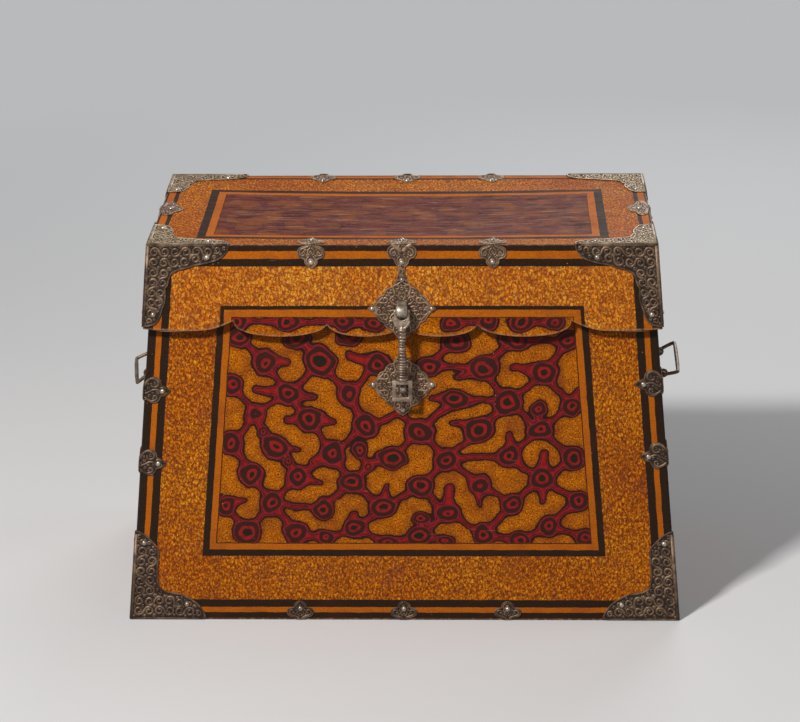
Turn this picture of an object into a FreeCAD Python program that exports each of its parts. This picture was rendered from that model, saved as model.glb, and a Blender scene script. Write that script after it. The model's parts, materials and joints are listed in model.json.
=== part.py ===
import FreeCAD, Part
import math
import os

V = FreeCAD.Vector

# Lacquered travel trunk, in millimetres.
# The origin is the middle of the foot, on the floor. X runs to the right, -Y is the front, Z is up.

# The trunk as a whole. Its four walls lean in by one angle, in the body and in the lid.
base_width = 660.0
base_depth = 370.0
total_height = 463.0
wall_lean_deg = 4.78
lean = math.tan(math.radians(wall_lean_deg))

# Boards, lacquered hide and the iron sheet of the mounts.
wall_board = 11.0
floor_board = 12.0
lid_board = 3.5
lid_top_board = 10.0
hide = 1.0
iron = 1.5
overrun = 5.0
seam_gap = 0.2

# The lid fits over the body like a box over a box. The gap in front and behind lets it swing.
lid_skirt = 101.5
lid_gap = 6.0
lid_side_gap = 0.8
lid_sag = 7.0
rim_seat_gap = 0.35

# Scalloped lower edge of the lid's front.
cusp_rise = 11.0
lobe_drop = 8.5
end_lobe_drop = 1.8
cusp_shares = (0.0, 0.29, 0.65)
end_dip_share = 0.80
end_lobe_share = 0.985

# Corner mounts: length of the arms along each edge.
lid_arm = 97.0
lid_arm_down = 99.0
lid_arm_on_top = 82.0
base_arm = 93.0
base_arm_up = 111.0
floor_clearance = 0.4
pierce_long = 12.0
pierce_wide = 4.6

# Clips folded over the edges.
clip_width = 31.0
clip_length = 29.0
edge_clip_width = 26.0
edge_clip_length = 33.0
side_clip_width = 62.0
side_clip_length = 27.0
foot_clip_length = 23.0
front_clip_spacing = 106.0
foot_clip_spacing = 125.0
upper_edge_clip_share = 0.808
lower_edge_clip_share = 0.564

# Rivets with domed heads.
rivet_r = 3.1
rivet_rise = 2.0

# Hasp plates, staples and hasp.
plate_half_width = 40.5
plate_half_height = 37.0
plate_above_skirt = 25.0
plate_above_catch = 1.35
neck_width = 9.5
staple_width = 11.5
staple_strap = 2.5
staple_play = 0.7
pivot_reach = 10.5
stirrup_wire_r = 2.1
bar_r = 2.5
stirrup_play = 0.65
stirrup_height = 19.6
rod_length = 64.0
bead_r = 4.6
neck_r = 3.1
eye_width = 22.5
eye_height = 25.5
eye_opening_width = 12.5
eye_opening_height = 15.5
eye_thickness = 5.0
eye_front_share = 0.2
catch_width = 3.5
catch_strap = 2.0
catch_height = 10.5
catch_reach = 12.0
hasp_rest_gap = 1.0

# Side handles: wire bails in eye staples.
handle_height_share = 0.736
handle_width = 96.0
handle_drop = 22.0
handle_wire_r = 2.2
handle_bend = 6.0
handle_pin = 9.0
handle_pin_bend = 3.5
handle_pivot_reach = 7.6
ring_wire_r = 1.6
ring_play = 0.35
rosette_r = 14.0
left_handle_droop_deg = 32.0
right_handle_droop_deg = -20.0

# Hinges at the back.
hinge_spacing = 340.0
hinge_width = 30.0
knuckle_r = 3.6
pin_r = 1.8
pin_clearance = 0.07
pin_head_r = 2.6
pin_head_depth = 1.4
knuckle_gap = 0.3
hinge_above_skirt = 9.0
body_strap_length = 96.0
lid_strap_length = 70.0

# Worked out from the sizes above.
skirt_z = total_height - lid_skirt
upper_edge_clip_z = upper_edge_clip_share * skirt_z
lower_edge_clip_z = lower_edge_clip_share * skirt_z
handle_z = handle_height_share * skirt_z
upper_plate_z = skirt_z + plate_above_skirt
catch_z = upper_plate_z - stirrup_height - rod_length - eye_height / 2
lower_plate_z = catch_z + plate_above_catch
wood_top = total_height - hide
scallop_low = skirt_z - lobe_drop


def outward(level, amount):
    """The level that lies this much further out. A level is how far out the walls stand in X and in Y."""
    return (level[0] + amount, level[1] + amount)


# Levels, counted from the body's painted face.
face = (0.0, 0.0)
body_wood = outward(face, -hide)
body_inside = outward(body_wood, -wall_board)
body_iron = outward(face, iron)
lid_inside = (lid_side_gap, lid_gap)
lid_wood = outward(lid_inside, lid_board)
lid_face = outward(lid_wood, hide)
lid_iron = outward(lid_face, iron)


def half_x(z, level):
    return base_width / 2 - z * lean + level[0]


def half_y(z, level):
    return base_depth / 2 - z * lean + level[1]


def arch(share):
    """Nothing at both ends of a span and 1 in its middle."""
    return 4 * share * (1 - share)


def arch_slope(share):
    return 4 - 8 * share


def sag_at(x, y):
    """How far the lid's top has sunk at this place. Its edges stay level."""
    share_x = 0.5 + x / (2 * half_x(total_height, lid_iron))
    share_y = 0.5 + y / (2 * half_y(total_height, lid_iron))
    return lid_sag * arch(share_x) * arch(share_y)


rim_inner_y = half_y(total_height, body_inside)
rim_z = wood_top - lid_top_board - rim_seat_gap - sag_at(0, rim_inner_y)


def solid_of(faces):
    solid = Part.Solid(Part.Shell(faces))
    if solid.Volume < 0:
        solid.reverse()
    return solid


def frustum(level, low, high):
    """Four-sided block whose leaning sides stand at this level."""
    rings = []
    for z in (low, high):
        x = half_x(z, level)
        y = half_y(z, level)
        rings.append([V(-x, -y, z), V(x, -y, z), V(x, y, z), V(-x, y, z)])
    bottom, top = rings
    faces = [Part.Face(Part.makePolygon(ring + ring[:1])) for ring in rings]
    for i in range(4):
        j = (i + 1) % 4
        faces.append(Part.Face(Part.makePolygon([bottom[i], bottom[j], top[j], top[i], bottom[i]])))
    return solid_of(faces)


def layer(side, inner, outer, low, high):
    """One leaning wall as a slab. Front and back run the full width, the sides fit between them."""
    far = outward(outer, base_width)
    deep_low = low - overrun
    deep_high = high + overrun
    if side in ("front", "back"):
        hole = frustum((far[0], inner[1]), deep_low, deep_high)
        pair = frustum(outer, low, high).cut(hole)
        order = sorted(pair.Solids, key=lambda s: s.CenterOfMass.y)
        return order[0] if side == "front" else order[-1]
    hole = frustum((inner[0], far[1]), deep_low, deep_high)
    pair = frustum((outer[0], inner[1]), low, high).cut(hole)
    order = sorted(pair.Solids, key=lambda s: s.CenterOfMass.x)
    return order[0] if side == "left" else order[-1]


def wrap_layer(side, inner, outer, low, high):
    """A leaning slab of one wall that also reaches round its two corners."""
    far = outward(outer, base_width)
    deep_low = low - overrun
    deep_high = high + overrun
    if side in ("front", "back"):
        hole = frustum((far[0], inner[1]), deep_low, deep_high)
    else:
        hole = frustum((inner[0], far[1]), deep_low, deep_high)
    pair = frustum(outer, low, high).cut(hole)
    across = side in ("front", "back")
    order = sorted(pair.Solids, key=lambda s: s.CenterOfMass.y if across else s.CenterOfMass.x)
    return order[0] if side in ("front", "left") else order[-1]


def dished_layer(z, thickness):
    """A sheet as wide as the lid's iron, sunk in its middle, with straight edges at height z."""
    x = half_x(total_height, lid_iron)
    y = half_y(total_height, lid_iron)
    patch = Part.BezierSurface()
    patch.increase(2, 2)
    for i, px in enumerate((-x, 0, x), 1):
        for j, py in enumerate((-y, 0, y), 1):
            drop = 4 * lid_sag if (i, j) == (2, 2) else 0
            patch.setPole(i, j, V(px, py, z - drop))
    sheet = patch.toShape().extrude(V(0, 0, thickness))
    return sheet if sheet.ShapeType == "Solid" else Part.Solid(sheet)


def outline(start, moves, place):
    """Closed wire. A move is a point for a straight run, or a pair of points for an arc."""
    edges = []
    here = place(*start)
    for move in moves:
        if isinstance(move[0], tuple):
            through = place(*move[0])
            end = place(*move[1])
            edges.append(Part.Arc(here, through, end).toShape())
        else:
            end = place(*move)
            edges.append(Part.LineSegment(here, end).toShape())
        here = end
    edges.append(Part.LineSegment(here, place(*start)).toShape())
    return Part.Wire(edges)


def cutter(wire, direction):
    """Prism through a wall, standing on the wire and running the given way."""
    return Part.Face(wire).extrude(direction)


def mirrored(shape, across_x, across_y):
    copy = shape.copy()
    if across_x:
        copy = copy.mirror(V(0, 0, 0), V(1, 0, 0))
    if across_y:
        copy = copy.mirror(V(0, 0, 0), V(0, 1, 0))
    return copy


nodes = {}


def keep(name, shape):
    nodes[name] = shape


def biggest(shape):
    return max(shape.Solids, key=lambda solid: solid.Volume)


def group(shapes):
    solids = []
    for shape in shapes:
        solids += shape.Solids
    return Part.makeCompound(solids)


# Boards and hide

def scallop_tool():
    """Everything under the lid's scalloped front edge."""
    half = half_x(skirt_z, lid_face)
    far = half + overrun
    below = scallop_low - overrun
    cusps = [share * half for share in cusp_shares]
    cusp_z = skirt_z + cusp_rise
    right = []
    for a, b in zip(cusps, cusps[1:]):
        right.append((((a + b) / 2, scallop_low), (b, cusp_z)))
    dip_z = skirt_z - end_lobe_drop
    right.append(((end_dip_share * half, dip_z), (end_lobe_share * half, skirt_z)))
    left = [((-end_dip_share * half, dip_z), (-cusps[-1], cusp_z))]
    for a, b in zip(cusps[::-1], cusps[-2::-1]):
        left.append(((-(a + b) / 2, scallop_low), (-b, cusp_z)))
    ends = [(far, skirt_z), (far, below)]
    moves = [(-far, skirt_z), (-end_lobe_share * half, skirt_z)] + left + right + ends
    wire = outline((-far, below), moves, lambda x, z: V(x, -base_depth, z))
    return cutter(wire, V(0, base_depth, 0))


def body_boards():
    for side in ("front", "back", "left", "right"):
        keep(side + "_board", layer(side, body_inside, body_wood, 0, rim_z))
        keep(side + "_hide", layer(side, body_wood, face, 0, rim_z))
    keep("bottom_board", frustum(body_inside, 0, floor_board))


def lid_boards():
    board_top = wood_top - lid_top_board
    depth = lid_top_board + lid_sag
    top = dished_layer(board_top, lid_top_board)
    top = top.common(frustum(lid_wood, board_top - depth, wood_top)).Solids[0]
    top_skin = dished_layer(wood_top, hide)
    top_skin = top_skin.common(frustum(lid_face, wood_top - depth, total_height)).Solids[0]
    keep("lid_top_board", top)
    keep("lid_top_hide", top_skin)
    scallops = scallop_tool()
    for side in ("front", "back", "left", "right"):
        low = scallop_low if side == "front" else skirt_z
        board = layer(side, lid_inside, lid_wood, low, board_top).cut(top)
        skin = layer(side, lid_wood, lid_face, low, wood_top - seam_gap).cut(top_skin)
        if side == "front":
            board = board.cut(scallops)
            skin = skin.cut(scallops)
        keep("lid_" + side + "_board", biggest(board))
        keep("lid_" + side + "_hide", biggest(skin))


# Corner mounts

# Inner edge of a mount's leaf, from the tip of one arm to the tip of the other, as shares of the arms.
lid_leaf_shares = [((0.95, 0.17), (0.83, 0.25)), ((0.65, 0.32), (0.47, 0.30)), ((0.40, 0.345), (0.30, 0.33)),
                   ((0.315, 0.44), (0.25, 0.54)), ((0.27, 0.66), (0.22, 0.76)), ((0.19, 0.91), (0.05, 1.0))]
base_leaf_shares = [((0.97, 0.07), (0.90, 0.15)), ((0.75, 0.26), (0.60, 0.27)), ((0.48, 0.29), (0.37, 0.36)),
                    (0.34, 0.72), ((0.27, 0.82), (0.03, 1.0))]
pierce_shares = [(0.14, 0.16, 45), (0.30, 0.12, 20), (0.30, 0.24, -40), (0.47, 0.18, 50), (0.63, 0.12, 10),
                 (0.65, 0.24, -30), (0.80, 0.13, 60), (0.12, 0.32, 70), (0.22, 0.42, 30), (0.11, 0.52, -60),
                 (0.20, 0.62, 50), (0.10, 0.74, 80)]
tip_rivet_shares = ((0.74, 0.17), (0.13, 0.86))


def leaf_outline(shares, arm_u, arm_v, place):
    """Outline of one leaf of a corner mount. u and v start at the corner of the trunk."""
    def at(su, sv):
        u = arm_u * su
        v = arm_v * sv
        return place(u, v)
    back_u = -overrun / arm_u
    back_v = -overrun / arm_v
    moves = [(1.0, back_v), (1.0, 0.0)] + shares + [(back_u, shares[-1][-1][-1])]
    return outline((back_u, back_v), moves, at)


def pierce_outline(centre_u, centre_v, turn_deg, place):
    """A pointed oval, the opening between two scrolls."""
    turn = math.radians(turn_deg)
    half = pierce_long / 2
    wide = pierce_wide / 2

    def at(a, b):
        u = centre_u + a * math.cos(turn) - b * math.sin(turn)
        v = centre_v + a * math.sin(turn) + b * math.cos(turn)
        return place(u, v)
    start = at(-half, 0)
    end = at(half, 0)
    arcs = [Part.Arc(start, at(0, wide), end).toShape(), Part.Arc(end, at(0, -wide), start).toShape()]
    return Part.Wire(arcs)


def leaf(sheet, shares, arm_u, arm_v, place, through):
    """One pierced leaf: the sheet inside the outline, less its openings."""
    body = sheet.common(cutter(leaf_outline(shares, arm_u, arm_v, place), through))
    holes = []
    for su, sv, turn in pierce_shares:
        holes.append(cutter(pierce_outline(su * arm_u, sv * arm_v, turn, place), through))
    return body.cut(Part.makeCompound(holes))


def joined(shapes):
    whole = shapes[0].fuse(shapes[1:]).removeSplitter()
    return whole.Solids[0]


def lid_corner():
    """Mount on the lid's front left corner: one leaf on the front, one on the side, one on top."""
    high = total_height + iron
    low = total_height - lid_arm_down
    past = V(0, base_depth, 0)
    front = wrap_layer("front", lid_face, lid_iron, low, high)
    side = wrap_layer("left", lid_face, lid_iron, low, high)

    def on_front(u, v):
        z = high - v
        return V(-half_x(z, lid_iron) + u, -base_depth, z)

    def on_side(u, v):
        z = high - v
        return V(-base_width, -half_y(z, lid_iron) + u, z)

    def on_top(u, v):
        return V(-half_x(high, lid_iron) + u, -half_y(high, lid_iron) + v, total_height - 2 * lid_sag)
    across = V(base_width, 0, 0)
    depth_arm = lid_arm_on_top
    top_sheet = dished_layer(total_height, iron)
    parts = [leaf(front, lid_leaf_shares, lid_arm, lid_arm_down, on_front, past),
             leaf(side, lid_leaf_shares, depth_arm, lid_arm_down, on_side, across),
             leaf(top_sheet, lid_leaf_shares, lid_arm, depth_arm, on_top, V(0, 0, 4 * lid_sag))]
    return joined(parts)


def base_corner():
    """Mount on the body's lower front left corner: one leaf on the front and one on the side."""
    low = floor_clearance
    high = base_arm_up + overrun
    front = wrap_layer("front", face, body_iron, low, high)
    side = wrap_layer("left", face, body_iron, low, high)

    def on_front(u, v):
        return V(-half_x(v, body_iron) + u, -base_depth, v)

    def on_side(u, v):
        return V(-base_width, -half_y(v, body_iron) + u, v)
    parts = [leaf(front, base_leaf_shares, base_arm, base_arm_up, on_front, V(0, base_depth, 0)),
             leaf(side, base_leaf_shares, base_arm, base_arm_up, on_side, V(base_width, 0, 0))]
    return joined(parts)


corner_places = (("front_left", False, False), ("front_right", True, False),
                 ("back_left", False, True), ("back_right", True, True))


def corner_mounts():
    lid_mount = lid_corner()
    base_mount = base_corner()
    for name, flip_x, flip_y in corner_places:
        keep("lid_corner_" + name, mirrored(lid_mount, flip_x, flip_y))
        keep("base_corner_" + name, mirrored(base_mount, flip_x, flip_y))


# Clips

# Half of a clip's leaf from the folded edge to its tip: a curled lobe at the side and a lobe below.
clip_shares = [((0.50, 0.20), (0.36, 0.50)), ((0.24, 0.56), (0.20, 0.66)), ((0.20, 0.90), (0.0, 1.0))]
# Half of a side clip's leaf: a long bracket that ends in a point.
bracket_shares = [((0.46, 0.40), (0.33, 0.48)), ((0.24, 0.60), (0.17, 0.66)), ((0.10, 0.86), (0.0, 1.0))]
clip_root_share = 0.42


def both_halves(root_share, shares):
    """Moves round a symmetric tip: the given right half, then the same arcs back on the left."""
    ends = [(root_share, 0.0)] + [move[1] for move in shares]
    moves = list(shares)
    for end, (through, _) in reversed(list(zip(ends, shares))):
        moves.append(((-through[0], through[1]), (-end[0], end[1])))
    return moves


def clip_outline(shares, width, length, place):
    """Outline of a clip's leaf, u across and v away from the edge it is folded over."""
    def at(su, sv):
        return place(su * width, sv * length)
    back = -overrun / length
    root = clip_root_share
    moves = [(root, back), (root, 0.0)] + both_halves(root, shares)
    return outline((-root, back), moves, at)


def top_edge_clip(x, front):
    """Clip over the lid's front or back top edge, one leaf on the skirt and one on top."""
    high = total_height + iron
    side = "front" if front else "back"
    way = -1 if front else 1
    skirt = wrap_layer(side, lid_face, lid_iron, high - clip_length - overrun, high)

    def down(u, v):
        return V(x + u, way * base_depth, high - v)

    def inward(u, v):
        return V(x + u, way * (half_y(high, lid_iron) - v), total_height - 2 * lid_sag)
    skirt_leaf = skirt.common(cutter(clip_outline(clip_shares, clip_width, clip_length, down),
                                     V(0, -way * base_depth, 0)))
    top_leaf = dished_layer(total_height, iron).common(
        cutter(clip_outline(clip_shares, clip_width, clip_length, inward), V(0, 0, 4 * lid_sag)))
    return joined([skirt_leaf, top_leaf])


def side_top_clip(right):
    """Bracket over the middle of the lid's left or right top edge."""
    high = total_height + iron
    side = "right" if right else "left"
    way = 1 if right else -1
    skirt = wrap_layer(side, lid_face, lid_iron, high - side_clip_length - overrun, high)

    def down(u, v):
        return V(way * base_width, u, high - v)

    def inward(u, v):
        return V(way * (half_x(high, lid_iron) - v), u, total_height - 2 * lid_sag)
    size = (side_clip_width, side_clip_length)
    skirt_leaf = skirt.common(cutter(clip_outline(bracket_shares, *size, down), V(-way * base_width, 0, 0)))
    top_leaf = dished_layer(total_height, iron).common(
        cutter(clip_outline(bracket_shares, *size, inward), V(0, 0, 4 * lid_sag)))
    return joined([skirt_leaf, top_leaf])


def body_edge_clip(z, flip_x, flip_y):
    """Clip round a leaning corner edge of the body, one leaf on the front and one on the side."""
    low = z - edge_clip_length
    high = z + edge_clip_length

    def on_front(u, v):
        return V(-half_x(z + u, body_iron) + v, -base_depth, z + u)

    def on_side(u, v):
        return V(-base_width, -half_y(z + u, body_iron) + v, z + u)
    size = (edge_clip_length, edge_clip_width)
    front_leaf = wrap_layer("front", face, body_iron, low, high).common(
        cutter(clip_outline(clip_shares, *size, on_front), V(0, base_depth, 0)))
    side_leaf = wrap_layer("left", face, body_iron, low, high).common(
        cutter(clip_outline(clip_shares, *size, on_side), V(base_width, 0, 0)))
    return mirrored(joined([front_leaf, side_leaf]), flip_x, flip_y)


def foot_clip(x, front):
    """Clip at the body's lower edge, a single leaf that stands on the foot line."""
    side = "front" if front else "back"
    way = -1 if front else 1
    sheet = wrap_layer(side, face, body_iron, floor_clearance, foot_clip_length + overrun)

    def up(u, v):
        return V(x + u, way * base_depth, v)
    return sheet.common(cutter(clip_outline(clip_shares, clip_width, foot_clip_length, up),
                               V(0, -way * base_depth, 0))).Solids[0]


def side_foot_clip(right):
    side = "right" if right else "left"
    way = 1 if right else -1
    sheet = wrap_layer(side, face, body_iron, floor_clearance, foot_clip_length + overrun)

    def up(u, v):
        return V(way * base_width, u, v)
    return sheet.common(cutter(clip_outline(clip_shares, clip_width, foot_clip_length, up),
                               V(-way * base_width, 0, 0))).Solids[0]


def clips():
    ends = (-front_clip_spacing, front_clip_spacing)
    places = (-front_clip_spacing, 0, front_clip_spacing)
    keep("lid_front_clips", group([top_edge_clip(x, True) for x in ends]))
    keep("lid_back_clips", group([top_edge_clip(x, False) for x in places]))
    keep("lid_side_clips", group([side_top_clip(right) for right in (False, True)]))
    for level, z in (("upper", upper_edge_clip_z), ("lower", lower_edge_clip_z)):
        four = [body_edge_clip(z, flip_x, flip_y) for _, flip_x, flip_y in corner_places]
        keep(level + "_edge_clips", group(four))
    feet = (-foot_clip_spacing, 0, foot_clip_spacing)
    keep("front_foot_clips", group([foot_clip(x, True) for x in feet]))
    keep("back_foot_clips", group([foot_clip(x, False) for x in feet]))
    keep("side_foot_clips", group([side_foot_clip(right) for right in (False, True)]))


# Hasp plates, staples and hasp

# A quarter of a hasp plate's edge, from its side tip to its top, as shares of its half sizes.
plate_shares = [((0.84, 0.13), (0.74, 0.24)), ((0.69, 0.46), (0.47, 0.50)), ((0.42, 0.72), (0.20, 0.74)),
                ((0.09, 0.80), (0.0, 1.0))]


def plate_outline(centre_z, y):
    def at(sx, sz):
        return V(sx * plate_half_width, y, centre_z + sz * plate_half_height)
    ends = [(1.0, 0.0)] + [m[1] for m in plate_shares]
    middles = [m[0] for m in plate_shares]
    moves = []
    quarters = ((1, 1, False), (-1, 1, True), (-1, -1, False), (1, -1, True))
    for sx, sz, backwards in quarters:
        order = range(len(middles))
        for i in (reversed(order) if backwards else order):
            target = ends[i] if backwards else ends[i + 1]
            moves.append(((sx * middles[i][0], sz * middles[i][1]), (sx * target[0], sz * target[1])))
    edges = []
    here = at(1.0, 0.0)
    for through, end in moves:
        stop = at(*end)
        edges.append(Part.Arc(here, at(*through), stop).toShape())
        here = stop
    return Part.Wire(edges)


plate_pierce_shares = [(0.34, 0.26, 35), (0.60, 0.10, 0), (0.22, 0.52, 70), (0.52, 0.34, -35)]


def plate(centre_z, level):
    """Pierced lozenge plate on the front, standing on the wall at this level."""
    low = centre_z - plate_half_height - overrun
    high = centre_z + plate_half_height + overrun
    sheet = wrap_layer("front", level, outward(level, iron), low, high)
    back = V(0, base_depth, 0)
    body = sheet.common(cutter(plate_outline(centre_z, -base_depth), back))
    holes = []
    for sx, sz, turn in plate_pierce_shares:
        for way_x in (-1, 1):
            for way_z in (-1, 1):
                def place(u, v, wx=way_x, wz=way_z):
                    return V(wx * u, -base_depth, centre_z + wz * v)
                wire = pierce_outline(sx * plate_half_width, sz * plate_half_height, turn, place)
                holes.append(cutter(wire, back))
    return body.cut(Part.makeCompound(holes))


def strap_bow(width, strap, inner_r, reach):
    """Staple of flat strap, bowed over a bar on the X axis, with two legs back to the plate."""
    outer_r = inner_r + strap
    half = width / 2
    outer = Part.makeCylinder(outer_r, width, V(-half, 0, 0), V(1, 0, 0))
    outer = outer.fuse(Part.makeBox(width, reach, 2 * outer_r, V(-half, 0, -outer_r)))
    inner = Part.makeCylinder(inner_r, 2 * width, V(-width, 0, 0), V(1, 0, 0))
    inner = inner.fuse(Part.makeBox(2 * width, reach + overrun, 2 * inner_r, V(-width, 0, -inner_r)))
    return outer.removeSplitter().cut(inner)


pivot_y = -half_y(upper_plate_z, lid_iron) - pivot_reach
pivot_z = upper_plate_z
catch_tip_y = -half_y(catch_z, body_iron) - catch_reach
eye_back = eye_thickness * (1 - eye_front_share)
rest_tilt = math.asin((pivot_y - catch_tip_y + hasp_rest_gap + eye_back) / (pivot_z - catch_z))


def trimmed_to_face(shape, level):
    """Cuts a staple's legs off where they meet the plate that they stand on."""
    wall = frustum((base_width, level[1]), -overrun, total_height + overrun)
    return shape.cut(wall).Solids[0]


def upper_staple():
    bow = strap_bow(staple_width, staple_strap, bar_r + staple_play, pivot_reach + overrun)
    bow.translate(V(0, pivot_y, pivot_z))
    return trimmed_to_face(bow, lid_iron)


def catch_staple():
    """Staple that the hasp's eye goes over, with a hole across it for a padlock."""
    inner_r = catch_height / 2 - catch_strap
    outer_r = catch_height / 2
    bow = strap_bow(catch_width, catch_strap, inner_r, catch_reach + overrun)
    bow.translate(V(0, catch_tip_y + outer_r, catch_z))
    return trimmed_to_face(bow, body_iron)


# The turned rod from the stirrup down to the eye: how far along it, and how thick.
rod_shares = [(0.0, 0.0), (0.04, 1.0), (0.08, 0.0), (0.12, 0.9), (0.17, 1.0),
              (0.21, 0.2), (0.25, 0.9), (0.29, 0.1), (0.38, 0.0), (0.42, 0.9),
              (0.46, 0.1), (0.52, 0.8), (0.57, 1.0), (0.62, 0.1), (0.70, 0.4),
              (0.78, 0.0), (0.84, 0.8), (0.89, 0.2), (0.95, 1.0), (1.0, 1.0)]


def turned_rod(top_z):
    points = [V(0, 0, top_z)]
    for along, swell in rod_shares:
        points.append(V(neck_r + swell * (bead_r - neck_r), 0, top_z - along * rod_length))
    points.append(V(0, 0, top_z - rod_length))
    face = Part.Face(Part.makePolygon(points + points[:1]))
    return face.revolve(V(0, 0, 0), V(0, 0, 1), 360)


def hasp():
    """Stirrup, turned rod and square eye, forged as one, hanging from the pivot."""
    side_x = staple_width / 2 + stirrup_play + stirrup_wire_r
    drop = stirrup_height - side_x - stirrup_wire_r
    bar = Part.makeCylinder(bar_r, 2 * side_x, V(-side_x, 0, 0), V(1, 0, 0))
    parts = [bar]
    for way in (-1, 1):
        parts.append(Part.makeSphere(bar_r, V(way * side_x, 0, 0)))
        parts.append(Part.makeCylinder(stirrup_wire_r, drop, V(way * side_x, 0, 0), V(0, 0, -1)))
    ring = Part.makeTorus(side_x, stirrup_wire_r, V(0, 0, -drop), V(0, 1, 0))
    reach = 2 * side_x + 2 * stirrup_wire_r
    half_ring = ring.common(Part.makeBox(2 * reach, 2 * reach, reach, V(-reach, -reach, -drop - reach)))
    parts.append(half_ring)
    parts.append(turned_rod(-stirrup_height + stirrup_wire_r / 2))
    eye_top = -stirrup_height - rod_length
    eye_front = -eye_thickness * eye_front_share
    eye = Part.makeBox(eye_width, eye_thickness, eye_height + stirrup_wire_r,
                       V(-eye_width / 2, eye_front, eye_top - eye_height))
    eye = eye.makeFillet(eye_thickness * eye_front_share, eye.Edges)
    low = eye_top - eye_height / 2 - eye_opening_height / 2
    opening = Part.makeBox(eye_opening_width, 2 * eye_thickness, eye_opening_height,
                           V(-eye_opening_width / 2, -eye_thickness, low))
    parts.append(eye.cut(opening))
    whole = joined(parts)
    whole.rotate(V(0, 0, 0), V(-1, 0, 0), math.degrees(rest_tilt))
    whole.translate(V(0, pivot_y, pivot_z))
    return whole


def neck():
    """Strap from the clip over the lid's front edge down to the upper plate, with a leaf on top."""
    high = total_height + iron
    low = upper_plate_z + plate_half_height / 2
    clip = top_edge_clip(0, True)
    sheet = wrap_layer("front", lid_face, lid_iron, low, high)
    half = neck_width / 2
    wire = outline((-half, low - overrun), [(half, low - overrun), (half, high - iron), (-half, high - iron)],
                   lambda x, z: V(x, -base_depth, z))
    return [clip, sheet.common(cutter(wire, V(0, base_depth, 0)))]


def lock_parts():
    keep("upper_hasp_plate", joined([plate(upper_plate_z, lid_face)] + neck()))
    keep("lower_hasp_plate", plate(lower_plate_z, face).Solids[0])
    keep("upper_staple", upper_staple())
    keep("catch_staple", catch_staple())
    keep("hasp", hasp())


# Side handles

handle_pivot_x = half_x(handle_z, face) + handle_pivot_reach
eye_y = handle_width / 2 - handle_pin / 2 - handle_pin_bend / 2


def bail():
    """Wire handle lying flat along +X, its pins on the Y axis at the origin."""
    w = handle_width / 2
    d = handle_drop
    b = handle_bend
    p = handle_pin_bend
    root = 1 - math.sqrt(0.5)
    pin_end = w - handle_pin

    def arc(a, m, c):
        return Part.Arc(V(*a), V(*m), V(*c)).toShape()

    def line(a, c):
        return Part.LineSegment(V(*a), V(*c)).toShape()
    edges = [line((0, pin_end, 0), (0, w - p, 0)),
             arc((0, w - p, 0), (p * root, w - p * root, 0), (p, w, 0)),
             line((p, w, 0), (d - b, w, 0)),
             arc((d - b, w, 0), (d - b * root, w - b * root, 0), (d, w - b, 0)),
             line((d, w - b, 0), (d, b - w, 0)),
             arc((d, b - w, 0), (d - b * root, b * root - w, 0), (d - b, -w, 0)),
             line((d - b, -w, 0), (p, -w, 0)),
             arc((p, -w, 0), (p * root, p * root - w, 0), (0, p - w, 0)),
             line((0, p - w, 0), (0, -pin_end, 0))]
    ring = Part.Wire(Part.makeCircle(handle_wire_r, V(0, pin_end, 0), V(0, 1, 0)))
    return Part.Wire(edges).makePipeShell([ring], True, False)


def ring_staple(y):
    """Eye of round wire that holds one pin of the handle, with a shank to its rosette."""
    mean_r = handle_wire_r + ring_play + ring_wire_r
    eye = Part.makeTorus(mean_r, ring_wire_r, V(0, y, 0), V(0, 1, 0))
    shank = Part.makeCylinder(ring_wire_r, 2 * handle_pivot_reach, V(-mean_r, y, 0), V(-1, 0, 0))
    return eye.fuse(shank)


def side_handle(name, way, droop_deg):
    """Handle, two eye staples and two rosettes on one side; way is 1 on the right, -1 on the left."""
    wire = bail()
    wire.rotate(V(0, 0, 0), V(0, 1, 0), droop_deg)
    wire.translate(V(handle_pivot_x, 0, handle_z))
    wall = frustum((iron, base_depth), -overrun, total_height)
    staples = []
    for y in (-eye_y, eye_y):
        staple = ring_staple(y)
        staple.translate(V(handle_pivot_x, 0, handle_z))
        staples.append(staple.cut(wall).Solids[0])
    sheet = wrap_layer("right", face, body_iron, handle_z - 2 * rosette_r, handle_z + 2 * rosette_r)
    rosettes = []
    for y in (-eye_y, eye_y):
        disc = Part.makeCylinder(rosette_r, base_width, V(0, y, handle_z), V(1, 0, 0))
        rosettes.append(sheet.common(disc))
    pieces = {"handle": wire, "handle_staples": group(staples), "handle_rosettes": group(rosettes)}
    for label, shape in pieces.items():
        keep(name + "_" + label, mirrored(shape, way < 0, False))


# Hinges

hinge_z = skirt_z + hinge_above_skirt
hinge_y = half_y(hinge_z, lid_face) + knuckle_r + knuckle_gap
knuckle_width = hinge_width / 3


def pin_bore():
    start = V(-hinge_width, hinge_y, hinge_z)
    return Part.makeCylinder(pin_r + pin_clearance, 2 * hinge_width, start, V(1, 0, 0))


def knuckle(x_from, x_to):
    tube = Part.makeCylinder(knuckle_r, x_to - x_from, V(x_from, hinge_y, hinge_z), V(1, 0, 0))
    return tube.cut(pin_bore())


# Half of a strap's lobed tip, as shares of the strap's width.
strap_root_share = 0.5
strap_tip_shares = [((0.30, 0.25), (0.34, 0.50)), ((0.22, 0.80), (0.0, 1.0))]


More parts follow.
